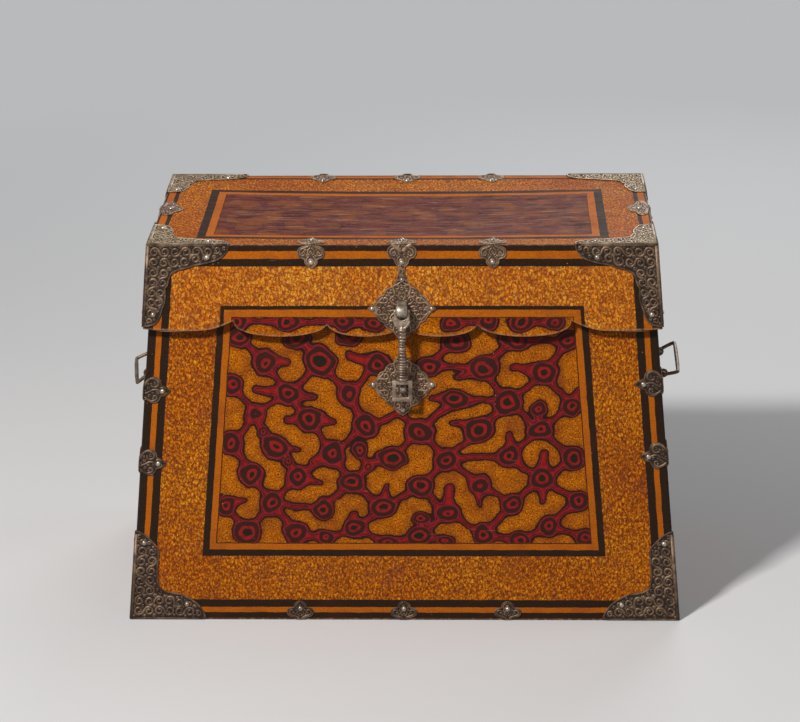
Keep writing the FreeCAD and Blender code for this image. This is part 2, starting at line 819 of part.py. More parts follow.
def strap_shape(length, z_edge, way, level):
    """Leaf of a hinge, a strap with a lobed tip; way is 1 up the lid, -1 down the body."""
    tip = z_edge + way * length
    sheet = wrap_layer("back", level, outward(level, iron), min(z_edge, tip), max(z_edge, tip))
    shoulder = length - hinge_width

    def at(su, sv):
        return V(su * hinge_width, 0, z_edge + way * (shoulder + sv * hinge_width))
    root = strap_root_share
    back = -shoulder / hinge_width
    moves = [(root, back), (root, 0.0)] + both_halves(root, strap_tip_shares)
    wire = outline((-root, back), moves, at)
    return sheet.common(cutter(wire, V(0, base_depth, 0)))


def hinge_leaves():
    """Body leaf, lid leaf and pin of one hinge, about the plane X = 0."""
    half = hinge_width / 2
    inner = knuckle_width / 2
    clear = knuckle_r + 2 * knuckle_gap
    lid_tab = wrap_layer("back", lid_face, lid_iron, hinge_z, hinge_z + clear + overrun)
    lid_tab = lid_tab.common(Part.makeBox(2 * inner, base_depth, base_depth, V(-inner, 0, hinge_z)))
    lid_strap = strap_shape(lid_strap_length, hinge_z + clear, 1, lid_face)
    lid_leaf = joined([lid_strap, lid_tab, knuckle(-inner, inner)])

    shelf_z = skirt_z - hinge_above_skirt
    riser_y = hinge_y - iron / 2
    parts = [strap_shape(body_strap_length, shelf_z, -1, face)]
    for x_from, x_to in ((-half, -inner - knuckle_gap), (inner + knuckle_gap, half)):
        parts.append(knuckle(x_from, x_to))
        riser = Part.makeBox(x_to - x_from, iron, hinge_z - shelf_z, V(x_from, riser_y, shelf_z))
        parts.append(riser.cut(pin_bore()))
    shelf_root = half_y(shelf_z, face)
    shelf_depth = riser_y + iron - shelf_root
    parts.append(Part.makeBox(hinge_width, shelf_depth, iron, V(-half, shelf_root, shelf_z - iron)))
    body_leaf = joined(parts).cut(frustum(face, -overrun, shelf_z + overrun)).Solids[0]
    pin = [Part.makeCylinder(pin_r, hinge_width, V(-half, hinge_y, hinge_z), V(1, 0, 0))]
    for end, way in ((-half, -1), (half, 1)):
        pin.append(Part.makeCylinder(pin_head_r, pin_head_depth, V(end, hinge_y, hinge_z), V(way, 0, 0)))
    return body_leaf, lid_leaf, joined(pin)


def hinges():
    body_leaf, lid_leaf, pin = hinge_leaves()
    for name, x in (("left", -hinge_spacing / 2), ("right", hinge_spacing / 2)):
        for label, shape in (("body_leaf", body_leaf), ("lid_leaf", lid_leaf), ("pin", pin)):
            copy = shape.copy()
            copy.translate(V(x, 0, 0))
            keep(name + "_hinge_" + label, copy)


# Rivets

def dome():
    ball_r = (rivet_r ** 2 + rivet_rise ** 2) / (2 * rivet_rise)
    start = math.degrees(math.asin((ball_r - rivet_rise) / ball_r))
    return Part.makeSphere(ball_r, V(0, 0, rivet_rise - ball_r), V(0, 0, 1), start, 90, 360)


def rivet_at(side, across, z, level):
    """Rivet on a leaning wall. across is X on the front and back and Y on the sides."""
    tilt = math.radians(wall_lean_deg)
    flat = math.cos(tilt)
    up = math.sin(tilt)
    spots = {"front": (V(across, -half_y(z, level), z), V(0, -flat, up)),
             "back": (V(across, half_y(z, level), z), V(0, flat, up)),
             "left": (V(-half_x(z, level), across, z), V(-flat, 0, up)),
             "right": (V(half_x(z, level), across, z), V(flat, 0, up))}
    spot, normal = spots[side]
    head = dome()
    head.Placement = FreeCAD.Placement(spot, FreeCAD.Rotation(V(0, 0, 1), normal))
    return head


def top_rivet(x, y):
    """Rivet on top of the lid, square to the dished iron sheet that it stands on."""
    wide = 2 * half_x(total_height, lid_iron)
    deep = 2 * half_y(total_height, lid_iron)
    share_x = 0.5 + x / wide
    share_y = 0.5 + y / deep
    slope_x = lid_sag * arch_slope(share_x) * arch(share_y) / wide
    slope_y = lid_sag * arch(share_x) * arch_slope(share_y) / deep
    spot = V(x, y, total_height + iron - sag_at(x, y))
    head = dome()
    head.Placement = FreeCAD.Placement(spot, FreeCAD.Rotation(V(0, 0, 1), V(slope_x, slope_y, 1)))
    return head


def four_ways(x, y):
    return [(way_x * x, way_y * y) for way_x in (-1, 1) for way_y in (-1, 1)]


def corner_rivets(arm_u, arm_depth, arm_v, corner_z, way, level):
    """Two rivets on each leaf of four corner mounts. way is 1 where the mount runs up, -1 down."""
    heads = []
    for su, sv in tip_rivet_shares:
        z = corner_z + way * sv * arm_v
        x = half_x(z, level) - su * arm_u
        y = half_y(z, level) - su * arm_depth
        for way_x in (-1, 1):
            heads.append(rivet_at("front", way_x * x, z, level))
            heads.append(rivet_at("back", way_x * x, z, level))
            heads.append(rivet_at("left", way_x * y, z, level))
            heads.append(rivet_at("right", way_x * y, z, level))
    return heads


# Where the other rivets sit, as shares of the leaf or plate that they hold.
lobe_rivet_share = 0.78
side_rivet_share = 0.50
plate_rivet_share = 0.86
neck_rivet_share = 0.93
plate_foot_rivet_share = 0.82
edge_rivet_share = 0.55
foot_rivet_share = 0.60
hinge_rivet_shares = (0.35, 0.80)


def lid_rivets():
    high = total_height + iron
    heads = corner_rivets(lid_arm, lid_arm_on_top, lid_arm_down, high, -1, lid_iron)
    for su, sv in tip_rivet_shares:
        x = half_x(high, lid_iron) - su * lid_arm
        y = half_y(high, lid_iron) - sv * lid_arm_on_top
        heads += [top_rivet(px, py) for px, py in four_ways(x, y)]
    down = high - lobe_rivet_share * clip_length
    edge_y = half_y(high, lid_iron)
    edge_x = half_x(high, lid_iron)
    for x in (-front_clip_spacing, 0, front_clip_spacing):
        heads.append(rivet_at("front", x, down, lid_iron))
        heads.append(rivet_at("back", x, down, lid_iron))
        for y in (-edge_y, edge_y):
            heads.append(top_rivet(x, y * (1 - lobe_rivet_share * clip_length / edge_y)))
    side_in = side_rivet_share * side_clip_length
    for way, side in ((-1, "left"), (1, "right")):
        heads.append(top_rivet(way * (edge_x - side_in), 0))
        heads.append(rivet_at(side, 0, high - side_in, lid_iron))
    plate_x = plate_rivet_share * plate_half_width
    for x in (-plate_x, plate_x):
        heads.append(rivet_at("front", x, upper_plate_z, lid_iron))
    heads.append(rivet_at("front", 0, upper_plate_z + neck_rivet_share * plate_half_height, lid_iron))
    for x in (-hinge_spacing / 2, hinge_spacing / 2):
        for share in hinge_rivet_shares:
            heads.append(rivet_at("back", x, hinge_z + share * lid_strap_length, lid_iron))
    return heads


def body_rivets():
    heads = corner_rivets(base_arm, base_arm, base_arm_up, 0, 1, body_iron)
    inset = edge_rivet_share * edge_clip_width
    for z in (upper_edge_clip_z, lower_edge_clip_z):
        x = half_x(z, body_iron) - inset
        y = half_y(z, body_iron) - inset
        for way in (-1, 1):
            heads += [rivet_at("front", way * x, z, body_iron), rivet_at("back", way * x, z, body_iron),
                      rivet_at("left", way * y, z, body_iron), rivet_at("right", way * y, z, body_iron)]
    up = foot_rivet_share * foot_clip_length
    for x in (-foot_clip_spacing, 0, foot_clip_spacing):
        heads += [rivet_at("front", x, up, body_iron), rivet_at("back", x, up, body_iron)]
    heads += [rivet_at("left", 0, up, body_iron), rivet_at("right", 0, up, body_iron)]
    plate_x = plate_rivet_share * plate_half_width
    for x in (-plate_x, plate_x):
        heads.append(rivet_at("front", x, lower_plate_z, body_iron))
    heads.append(rivet_at("front", 0, lower_plate_z - plate_foot_rivet_share * plate_half_height, body_iron))
    strap_top = skirt_z - hinge_above_skirt
    for x in (-hinge_spacing / 2, hinge_spacing / 2):
        for share in hinge_rivet_shares:
            heads.append(rivet_at("back", x, strap_top - share * body_strap_length, body_iron))
    return heads


def main():
    body_boards()
    lid_boards()
    corner_mounts()
    clips()
    lock_parts()
    side_handle("left", -1, left_handle_droop_deg)
    side_handle("right", 1, right_handle_droop_deg)
    hinges()
    keep("lid_rivets", group(lid_rivets()))
    keep("body_rivets", group(body_rivets()))
    os.makedirs("parts", exist_ok=True)
    for name, shape in nodes.items():
        shape.exportStep("parts/" + name + ".step")
        flag = "" if shape.isValid() else "  NOT VALID"
        print(name, len(shape.Solids), round(shape.Volume, 1), flag)
    print("lid axis", hinge_y, hinge_z)
    print("hasp axis", pivot_y, pivot_z, "tilt", math.degrees(rest_tilt))
    print("handle axis", handle_pivot_x, handle_z)
    print("rim", rim_z, "catch", catch_z, catch_tip_y)


main()
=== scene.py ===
import json
import math

import bpy
import numpy as np
from mathutils import Matrix, Vector, noise

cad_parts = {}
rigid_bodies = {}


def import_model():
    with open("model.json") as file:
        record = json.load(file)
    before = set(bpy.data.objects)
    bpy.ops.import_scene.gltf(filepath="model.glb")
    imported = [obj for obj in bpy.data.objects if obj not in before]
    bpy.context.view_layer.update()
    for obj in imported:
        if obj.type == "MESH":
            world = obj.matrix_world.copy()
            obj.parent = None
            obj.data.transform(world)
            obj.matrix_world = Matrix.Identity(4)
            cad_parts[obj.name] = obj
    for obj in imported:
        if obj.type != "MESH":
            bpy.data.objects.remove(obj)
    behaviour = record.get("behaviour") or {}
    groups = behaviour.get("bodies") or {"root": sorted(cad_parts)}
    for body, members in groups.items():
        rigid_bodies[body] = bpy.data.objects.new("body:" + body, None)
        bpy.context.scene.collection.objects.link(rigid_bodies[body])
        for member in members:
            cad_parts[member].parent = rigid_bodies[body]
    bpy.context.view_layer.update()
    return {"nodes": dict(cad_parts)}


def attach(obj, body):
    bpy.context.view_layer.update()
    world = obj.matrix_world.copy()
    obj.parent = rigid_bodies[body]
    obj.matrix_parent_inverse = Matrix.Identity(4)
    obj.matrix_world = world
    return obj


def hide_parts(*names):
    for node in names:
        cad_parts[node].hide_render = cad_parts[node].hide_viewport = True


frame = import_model()
nodes = frame["nodes"]

mm = 0.001

# The trunk's own sizes, in millimetres. X runs to the right, -Y is the front, Z is up.
base_width = 660.0
base_depth = 370.0
total_height = 463.0
lean = math.tan(math.radians(4.78))
skirt_z = 361.5
scallop_rise = 11.0
scallop_drop = 8.5
shallow_drop = 1.8
hide = 1.0
iron_layer = 1.5
lid_out = (5.3, 10.5)
body_out = (0.0, 0.0)
lid_sag = 7.0
rim_z = 449.69
corner_round = 2.4
iron_foot = 0.6
lid_top_iron = total_height + iron_layer
lid_clip_x = 106
foot_clip_x = 125
edge_clips = (("upper_edge", 283.6, 292.1), ("lower_edge", 194.9, 203.9))
upper_plate_z = 386.5
lower_plate_z = 291.5
catch_z = 290.0
neck_rise = 52
hinge_x = 170
hinge_nails_z = (318.9, 275.7)
pivot_y = -175.181
pivot_z = 386.5
hasp_tilt = math.radians(2.413)
handle_z = 266.064
handle_x = 315.34
wire_radius = 2.2


def half_x(z, out=0.0):
    return base_width / 2 - z * lean + out


def half_y(z, out=0.0):
    return base_depth / 2 - z * lean + out


def sag_at(x, y):
    """How far the lid's top has sunk at this place."""
    share_x = 0.5 + x / (2 * half_x(total_height, lid_out[0] + iron_layer))
    share_y = 0.5 + y / (2 * half_y(total_height, lid_out[1] + iron_layer))
    return lid_sag * 16 * share_x * (1 - share_x) * share_y * (1 - share_y)


def scallop_z(x):
    """Height of the lid's lower front edge: two deep scallops on each side of the middle, then a shallow one."""
    share = abs(x) / half_x(skirt_z, lid_out[0])
    for low, high in ((0.0, 0.29), (0.29, 0.65)):
        if share <= high:
            middle = (low + high) / 2
            swing = (share - middle) / (high - middle)
            bow = math.sqrt(max(0.0, 1 - swing * swing * 0.97)) ** 0.8
            return skirt_z + scallop_rise - (scallop_rise + scallop_drop) * bow
    if share <= 0.985:
        swing = (share - 0.80) / (0.65 - 0.80) if share < 0.80 else (share - 0.80) / 0.185
        lift = scallop_rise + shallow_drop if share < 0.80 else shallow_drop
        return skirt_z - shallow_drop + lift * swing * swing
    return skirt_z


# Working helpers

def deselect():
    for thing in bpy.context.view_layer.objects:
        thing.select_set(False)
    bpy.context.view_layer.objects.active = None


def choose(*things):
    deselect()
    for thing in things:
        thing.select_set(True)
    bpy.context.view_layer.objects.active = things[0]


def made(operator, **settings):
    """The object that an operator adds."""
    deselect()
    operator(**settings)
    return bpy.context.view_layer.objects.active


def in_edit_mode(thing, *steps):
    """Runs edit-mode steps on all of a mesh."""
    choose(thing)
    bpy.ops.object.mode_set(mode="EDIT")
    bpy.ops.mesh.select_all(action="SELECT")
    for step in steps:
        step()
    bpy.ops.object.mode_set(mode="OBJECT")


def outward(thing, merge=0.000001):
    in_edit_mode(thing, lambda: bpy.ops.mesh.remove_doubles(threshold=merge),
                 lambda: bpy.ops.mesh.normals_make_consistent(inside=False))


def smooth(thing, degrees):
    choose(thing)
    bpy.ops.object.shade_smooth_by_angle(angle=math.radians(degrees))


def modify(thing, *changes):
    """Adds modifiers, each a kind and its settings, and applies them."""
    for kind, settings in changes:
        modifier = thing.modifiers.new(kind, kind)
        for name, value in settings.items():
            setattr(modifier, name, value)
    choose(thing)
    for modifier in list(thing.modifiers):
        bpy.ops.object.modifier_apply(modifier=modifier.name)


def bevel(width, segments, degrees=30):
    return "BEVEL", {"width": width * mm, "segments": segments, "limit_method": "ANGLE",
                     "angle_limit": math.radians(degrees)}


def points_of(thing):
    spots = np.zeros(len(thing.data.vertices) * 3)
    thing.data.vertices.foreach_get("co", spots)
    return spots.reshape(-1, 3)


def move_points(thing, spots):
    thing.data.vertices.foreach_set("co", np.asarray(spots, float).ravel())
    thing.data.update()


def stacked(*columns):
    """Columns in millimetres as rows in metres."""
    return np.stack(np.broadcast_arrays(*columns), 1) * mm


def hung(thing, forward):
    """Turns a piece that was drawn flat to hang down, and moves it forward by so many metres."""
    spots = points_of(thing)
    move_points(thing, np.stack([spots[:, 0], spots[:, 2] + forward, -spots[:, 1]], 1))


def joined(name, things):
    choose(*things)
    if len(things) > 1:
        bpy.ops.object.join()
    whole = bpy.context.view_layer.objects.active
    whole.name = whole.data.name = name
    return whole


def reflected(thing, matrix):
    """Moves a mesh by the matrix, and turns it right side out if that mirrors it."""
    thing.data.transform(matrix)
    if matrix.determinant() < 0:
        thing.data.flip_normals()
    return thing


def copied(thing, matrix):
    """A copy with its own mesh, moved by the matrix."""
    copy = thing.copy()
    copy.data = thing.data.copy()
    bpy.context.scene.collection.objects.link(copy)
    return reflected(copy, matrix)


unmoved = Matrix()
mirror_x = Matrix.Scale(-1, 4, (1, 0, 0))
mirror_y = Matrix.Scale(-1, 4, (0, 1, 0))


def declare(thing, body, node):
    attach(thing, body)
    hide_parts(node)


def dress(thing, name, material, body, node):
    thing.name = thing.data.name = name
    thing.data.materials.clear()
    thing.data.materials.append(material)
    declare(thing, body, node)


def set_attribute(thing, name, kind, values):
    attribute = thing.data.attributes.new(name, kind, "POINT")
    key = "vector" if kind == "FLOAT_VECTOR" else "value"
    attribute.data.foreach_set(key, np.asarray(values, np.float32).ravel())


# Materials

def linear(red, green, blue):
    """A colour given as it looks on a screen, 0 to 255, in the form the shader takes."""
    parts = [c / 255 for c in (red, green, blue)]
    return tuple(c / 12.92 if c <= 0.04045 else ((c + 0.055) / 1.055) ** 2.4 for c in parts) + (1.0,)


def tones(*colours):
    return [linear(*colour) for colour in colours]


class Finish:
    """The nodes of a material or a world, built a step at a time."""

    def __init__(self, owner, shader="Principled BSDF"):
        owner.use_nodes = True
        self.material = owner
        self.tree = owner.node_tree
        self.shader = self.tree.nodes[shader]

    def feed(self, socket, value):
        if isinstance(value, bpy.types.NodeSocket):
            self.tree.links.new(value, socket)
        else:
            socket.default_value = value

    def set(self, **values):
        for name, value in values.items():
            self.feed(self.shader.inputs[name.replace("_", " ")], value)

    def node(self, kind, inputs, **settings):
        """The outputs of a new node. Its inputs are a list, or a dict by name or number."""
        step = self.tree.nodes.new("ShaderNode" + kind)
        for name, value in settings.items():
            setattr(step, name, value)
        for name, value in inputs.items() if isinstance(inputs, dict) else enumerate(inputs):
            self.feed(step.inputs[name], value)
        return step.outputs

    def attribute(self, name, output="Vector"):
        return self.node("Attribute", [], attribute_name=name)[output]

    def place(self):
        return self.node("TexCoord", [])["Object"]

    def math(self, operation, *values):
        return self.node("Math", values, operation=operation)[0]

    def both(self, a, b):
        return self.math("MULTIPLY", a, b)

    def varied(self, value, by, reach, least):
        """The value with least to least + reach added."""
        return self.math("ADD", value, self.math("MULTIPLY_ADD", by, reach, least))

    def parts(self, vector):
        return self.node("SeparateXYZ", [vector])

    def scaled(self, vector, scale, turn=(0, 0, 0)):
        return self.node("Mapping", {"Vector": vector, "Scale": scale, "Rotation": turn})[0]

    def bent(self, vector, scale, reach):
        """Coordinates that wander by up to half of reach, so that what follows them has no straight rows."""
        swirl = self.node("TexNoise", {"Vector": vector, "Scale": scale, "Detail": 1.0})["Color"]
        return self.node("VectorMath", [swirl, reach, vector], operation="MULTIPLY_ADD")[0]

    def noise(self, vector, scale, detail=2.0, rough=0.5, distortion=0.0):
        return self.node("TexNoise", {"Vector": vector, "Scale": scale, "Detail": detail, "Roughness": rough,
                                      "Distortion": distortion})["Fac"]

    def cells(self, vector, scale, feature="F1", output="Distance"):
        return self.node("TexVoronoi", {"Vector": vector, "Scale": scale}, feature=feature)[output]

    def ramp(self, factor, places, colours):
        output = self.node("ValToRGB", [factor])[0]
        stops = output.node.color_ramp.elements
        while len(stops) < len(places):
            stops.new(1.0)
        for stop, place, colour in zip(stops, places, colours):
            stop.position = place
            stop.color = colour
        return output

    def mask(self, factor, start, end):
        """0 at start and 1 at end, straight in between."""
        return self.node("MapRange", {"Value": factor, "From Min": start, "From Max": end})[0]

    def mix(self, factor, a, b):
        return self.node("Mix", {0: factor, 6: a, 7: b}, data_type="RGBA")[2]

    def tinted(self, colour, tone, share, factor, start, end):
        """The colour with up to this share of a tone, none where the factor is at start and all of it at end."""
        return self.mix(self.both(self.mask(factor, start, end), share), colour, tone)

    def bump(self, height, strength, distance):
        self.set(Normal=self.node("Bump", {"Strength": strength, "Distance": distance, "Height": height})[0])


black_paint, strip_dark, strip_paint = tones((36, 24, 15), (160, 80, 12), (188, 100, 14))
field_tones = tones((84, 30, 18), (146, 64, 6), (178, 90, 6), (204, 120, 14), (232, 164, 36))
lid_tones = tones((104, 44, 28), (168, 84, 14), (202, 114, 22), (224, 144, 38), (240, 178, 72))
gold_tones = tones((74, 34, 6), (150, 74, 2), (186, 102, 4), (224, 152, 34))
mark_outline, mark_crimson, mark_red = tones((44, 20, 12), (128, 34, 44), (146, 30, 26))
mark_maroon, mark_brown, mark_core = tones((84, 20, 26), (56, 26, 18), (32, 28, 16))


def lacquer(name, outer, inner, worn=0.0, gloss=0.12, ground_tones=field_tones):
    """Painted and varnished hide. outer and inner give the frames' places and the widths of their bands in mm."""
    finish = Finish(bpy.data.materials.new(name))
    flat = finish.attribute("flat")
    insets = finish.parts(finish.attribute("inset"))
    marks = finish.attribute("marks", "Fac")
    rings = finish.math("POWER", finish.attribute("rings", "Fac"), 0.5)
    wander = finish.noise(flat, 60, 3)

    def frame_bands(places, widths):
        """The black strips, the plain strip between them, and all that lies inside them."""
        spans = [finish.math("SUBTRACT", inset, place * mm) for inset, place in zip(insets, places)]
        nearest = finish.math("MINIMUM", finish.math("MINIMUM", spans[0], spans[1]), spans[2])
        distance = finish.varied(nearest, wander, 0.0018, -0.0009)
        masks = []
        for i in range(4):
            edge = sum(widths[:i]) * mm
            masks.append(finish.mask(distance, edge - 0.0002, edge + 0.0002))
        first, plain, second = (finish.math("SUBTRACT", masks[i], masks[i + 1]) for i in range(3))
        return finish.math("ADD", first, second), plain, masks[3]

    # The mottled ground: short strokes of light and dark, parted by dark lines like worm tracks
    stain = finish.noise(flat, 26, 4, 0.6, 0.5)
    drift = finish.noise(flat, 9, 3, 0.5)
    grain = finish.noise(flat, 620, 2, 0.6)
    breaks = finish.noise(finish.scaled(flat, (1.0, 0.55, 1.0)), 430, 2, 0.6)
    ground = finish.math("MULTIPLY_ADD", finish.math("SUBTRACT", drift, 0.5), 0.25, breaks)
    field = finish.ramp(ground, (0.32, 0.46, 0.57, 0.72), ground_tones[1:])
    worms = finish.scaled(finish.bent(flat, 210, (0.0050, 0.0050, 0.0)), (290.0, 180.0, 1.0))
    between = finish.mask(finish.cells(worms, 1.0, "DISTANCE_TO_EDGE"), 0.17, 0.07)
    gaps = finish.mask(finish.noise(flat, 330, 1.0), 0.33, 0.45)
    field = finish.mix(finish.both(finish.both(between, gaps), 0.72), field, ground_tones[0])
    patches = finish.parts(finish.cells(worms, 1.0, "F1", "Color"))[0]
    field = finish.tinted(field, ground_tones[0], 0.22, patches, 0.74, 0.82)
    field = finish.tinted(field, linear(104, 48, 40), 0.3, stain, 0.54, 0.70)

    # Gold between the painted marks, and the plain strips of the frames
    gold_grain = finish.math("MULTIPLY_ADD", finish.noise(flat, 560, 2, 0.75), 0.8,
                             finish.both(finish.noise(flat, 90, 3, 0.6), 0.2))
    gold = finish.ramp(gold_grain, (0.36, 0.45, 0.55, 0.67), gold_tones)
    gold = finish.tinted(gold, linear(110, 46, 20), 0.45, stain, 0.46, 0.66)
    plain = finish.mix(finish.mask(grain, 0.35, 0.62), strip_dark, strip_paint)
    plain = finish.tinted(plain, linear(120, 52, 28), 0.4, stain, 0.50, 0.72)

    # The marks: a dark outline, red channels with a darker seam, and eyes of rings within rings
    height = finish.varied(marks, finish.noise(flat, 330, 3, 0.6), 1.5, -0.75)
    ring = finish.varied(rings, finish.noise(flat, 260, 3, 0.6), 0.10, -0.05)
    ring = finish.varied(ring, finish.noise(flat, 42, 1), 0.36, -0.14)
    net = finish.ramp(finish.mask(height, -2.0, 8.0), (0.20, 0.39, 0.42, 0.48, 0.50, 0.56, 0.61, 1.0),
                      (mark_outline, mark_outline, mark_crimson, mark_crimson, mark_maroon, mark_maroon,
                       mark_red, mark_red))
    eye = finish.ramp(ring, (0.0, 0.24, 0.28, 0.39, 0.43, 0.48, 0.76, 0.79, 0.84, 1.0),
                      (mark_core, mark_core, mark_red, mark_red, mark_crimson, mark_brown, mark_brown,
                       mark_crimson, mark_crimson, mark_red))
    in_eye = finish.both(finish.mask(ring, 0.88, 0.84), finish.mask(height, 1.2, 1.7))
    marked = finish.mix(in_eye, net, eye)
    marked = finish.tinted(marked, linear(62, 22, 22), 0.62, finish.noise(flat, 120, 3, 0.6), 0.46, 0.68)
    gold = finish.tinted(gold, gold_tones[0], 0.35, height, -4.5, -0.5)
    pattern = finish.mix(finish.mask(height, -0.5, 0.2), gold, marked)

    outer_black, outer_plain, _ = frame_bands(*outer)
    inner_black, inner_plain, within = frame_bands(*inner)
    colour = finish.mix(within, field, pattern)
    colour = finish.mix(finish.math("ADD", outer_plain, inner_plain), colour, plain)
    black = finish.tinted(black_paint, linear(84, 62, 42), 0.25, grain, 0.5, 0.7)
    colour = finish.mix(finish.math("ADD", outer_black, inner_black), colour, black)

    # Age: blotches, worn spots, specks, scratches and chipped edges
    blotch = finish.noise(flat, 20, 5, 0.65, 0.4)
    colour = finish.tinted(colour, finish.mix(0.6, colour, linear(88, 40, 30)), 0.5, blotch, 0.54, 0.80)
    wear = finish.both(finish.mask(finish.noise(flat, 190, 4, 0.7), 0.63, 0.69), finish.mask(blotch, 0.50, 0.62))
    colour = finish.mix(finish.both(wear, 0.8), colour, linear(58, 28, 22))
    specks = finish.math("LESS_THAN", finish.cells(flat, 95), 0.05)
    specks = finish.both(specks, finish.mask(finish.noise(flat, 34, 2), 0.52, 0.6))
    colour = finish.mix(finish.both(specks, 0.6), colour, linear(206, 168, 124))
    scratch_way = finish.scaled(flat, (14.0, 260.0, 1.0), (0, 0, 0.35))
    scratch = finish.mask(finish.noise(scratch_way, 1.0, 2, 0.5, 0.6), 0.735, 0.75)
    scratch = finish.both(scratch, finish.mask(finish.noise(flat, 16, 2), 0.55, 0.62))
    colour = finish.mix(finish.both(scratch, 0.55), colour, linear(190, 146, 104))
    chips = finish.math("MAXIMUM", finish.mask(finish.noise(flat, 150, 4, 0.7), 0.50, 0.56), 0.35)
    near_edge = finish.math("MAXIMUM", finish.mask(insets["Y"], 0.0026, 0.0012),
                            finish.mask(insets["Z"], 0.0018, 0.0006))
    colour = finish.mix(finish.both(finish.both(chips, near_edge), 0.7), colour, linear(158, 118, 88))
    if worn:
        # Long streaks and fine cracks where hands and loads have worn the top
        streak_way = finish.scaled(finish.bent(flat, 16, (0.030, 0.012, 0.030)), (24.0, 150.0, 60.0), (0, 0, 0.03))
        top_tones = finish.ramp(finish.noise(streak_way, 1.0, 4, 0.62, 0.5), (0.38, 0.45, 0.51, 0.56, 0.66),
                             tones((38, 16, 15), (80, 34, 26), (112, 56, 40), (74, 34, 28), (140, 94, 72)))
        colour = finish.mix(finish.math("MAXIMUM", finish.both(within, 0.88), worn), colour,
                            finish.mix(finish.both(within, 0.85), finish.mix(0.35, colour, top_tones), top_tones))
        crack_way = finish.scaled(flat, (26.0, 150.0, 1.0))
        colour = finish.tinted(colour, linear(150, 110, 86), 0.6, finish.noise(crack_way, 1.0, 5, 0.7, 1.2),
                               0.655, 0.70)
    shine = finish.math("MULTIPLY_ADD", finish.noise(flat, 40, 4), 0.18, 0.30 + 1.2 * worn)
    finish.set(Base_Color=colour, Roughness=shine, Specular_IOR_Level=gloss)
    relief = finish.math("MULTIPLY_ADD", finish.noise(flat, 520, 3, 0.6), 0.10, finish.noise(flat, 26, 3))
    finish.bump(finish.math("MULTIPLY_ADD", wear, -0.25, relief), 0.35, 0.0012)
    return finish.material


def metal(name, shades, rough=0.45, metallic=0.5, hollow_grime_and_shade=None, top_tones=None):
    """Old iron with a patchy brown skin. Relief gets painted shade and grime in its hollows and painted highlights on
    its crests; a marked leaf is painted light as if lit from above.
    """
    finish = Finish(bpy.data.materials.new(name))
    place = finish.place()
    patches = finish.noise(place, 95, 5, 0.65)
    grit = finish.noise(place, 900, 3, 0.7)
    mottle = finish.math("MULTIPLY_ADD", grit, 0.35, finish.both(patches, 0.65))
    steps = (0.36, 0.50, 0.66)
    colour = finish.ramp(mottle, steps, tones(*shades))
    # Painted light: a leaf marked by the attribute takes lighter tones, as if lit from above.
    if top_tones:
        colour = finish.mix(finish.attribute("lit_top", "Fac"), colour, finish.ramp(mottle, steps, tones(*top_tones)))
    # Painted shade, with some grime, darkens what lies low in the relief, and a painted highlight lightens the crests
    # in patches.
    if hollow_grime_and_shade:
        lift = finish.attribute("lift", "Fac")
        colour = finish.tinted(colour, linear(*hollow_grime_and_shade), 0.85, lift, 0.0009, 0.0006)
        crest_highlight = finish.both(finish.mask(lift, 0.0014, 0.0019), finish.mask(patches, 0.35, 0.6))
        colour = finish.mix(finish.both(crest_highlight, 0.6), colour, linear(*shades[2]))
    finish.set(Base_Color=colour, Metallic=metallic,
               Roughness=finish.math("MULTIPLY_ADD", patches, 0.35, rough - 0.15))
    finish.bump(mottle, 0.45, 0.0006)
    return finish.material


def wood(name):
    """Old planed softwood with its grain along the board."""
    finish = Finish(bpy.data.materials.new(name))
    place = finish.place()
    rings = finish.noise(finish.scaled(place, (3.0, 30.0, 30.0)), 3.2, 6, 0.62, 0.8)
    pores = finish.noise(finish.scaled(place, (20.0, 420.0, 420.0)), 1.0, 3, 0.6)
    colour = finish.ramp(rings, (0.30, 0.46, 0.62, 0.75),
                         tones((70, 42, 24), (112, 74, 42), (146, 102, 62), (96, 60, 34)))
    colour = finish.tinted(colour, linear(58, 34, 20), 0.5, pores, 0.58, 0.70)
    stained = finish.mix(0.5, colour, linear(52, 32, 22))
    colour = finish.mix(finish.mask(finish.noise(place, 9, 4), 0.5, 0.8), colour, stained)
    finish.set(Base_Color=colour, Roughness=finish.math("MULTIPLY_ADD", rings, 0.2, 0.55))
    finish.bump(finish.math("ADD", rings, pores), 0.25, 0.0008)
    return finish.material


# Each frame is where its bands start from the sides, the lower and the upper edge, and how wide they are.
# A start of -400 leaves that side without a frame.
body_lacquer = lacquer("lacquer_body", ((0.0, -0.7, 6.0), (10.0, 6.6, 9.4)), ((81.3, 80.0, 34.0), (8.0, 7.5, 1.2)))
lid_lacquer = lacquer("lacquer_lid", ((0.0, -400.0, -4.5), (12.3, 9.1, 9.1)),
                      ((90.0, -400.0, 73.0), (4.6, 8.6, 1.0)), ground_tones=lid_tones)
top_lacquer = lacquer("lacquer_top", ((0.0, -400.0, 0.0), (3.0, 8.0, 5.0)), ((54.0, 29.0, 62.0), (10.0, 9.0, 1.0)),
                      worn=0.22, gloss=0.07)
hide_edge = metal("hide_edge", ((70, 44, 30), (128, 92, 66), (176, 138, 104)), 0.7, 0.0)
iron = metal("old_iron", ((52, 40, 30), (96, 78, 62), (150, 130, 108)))
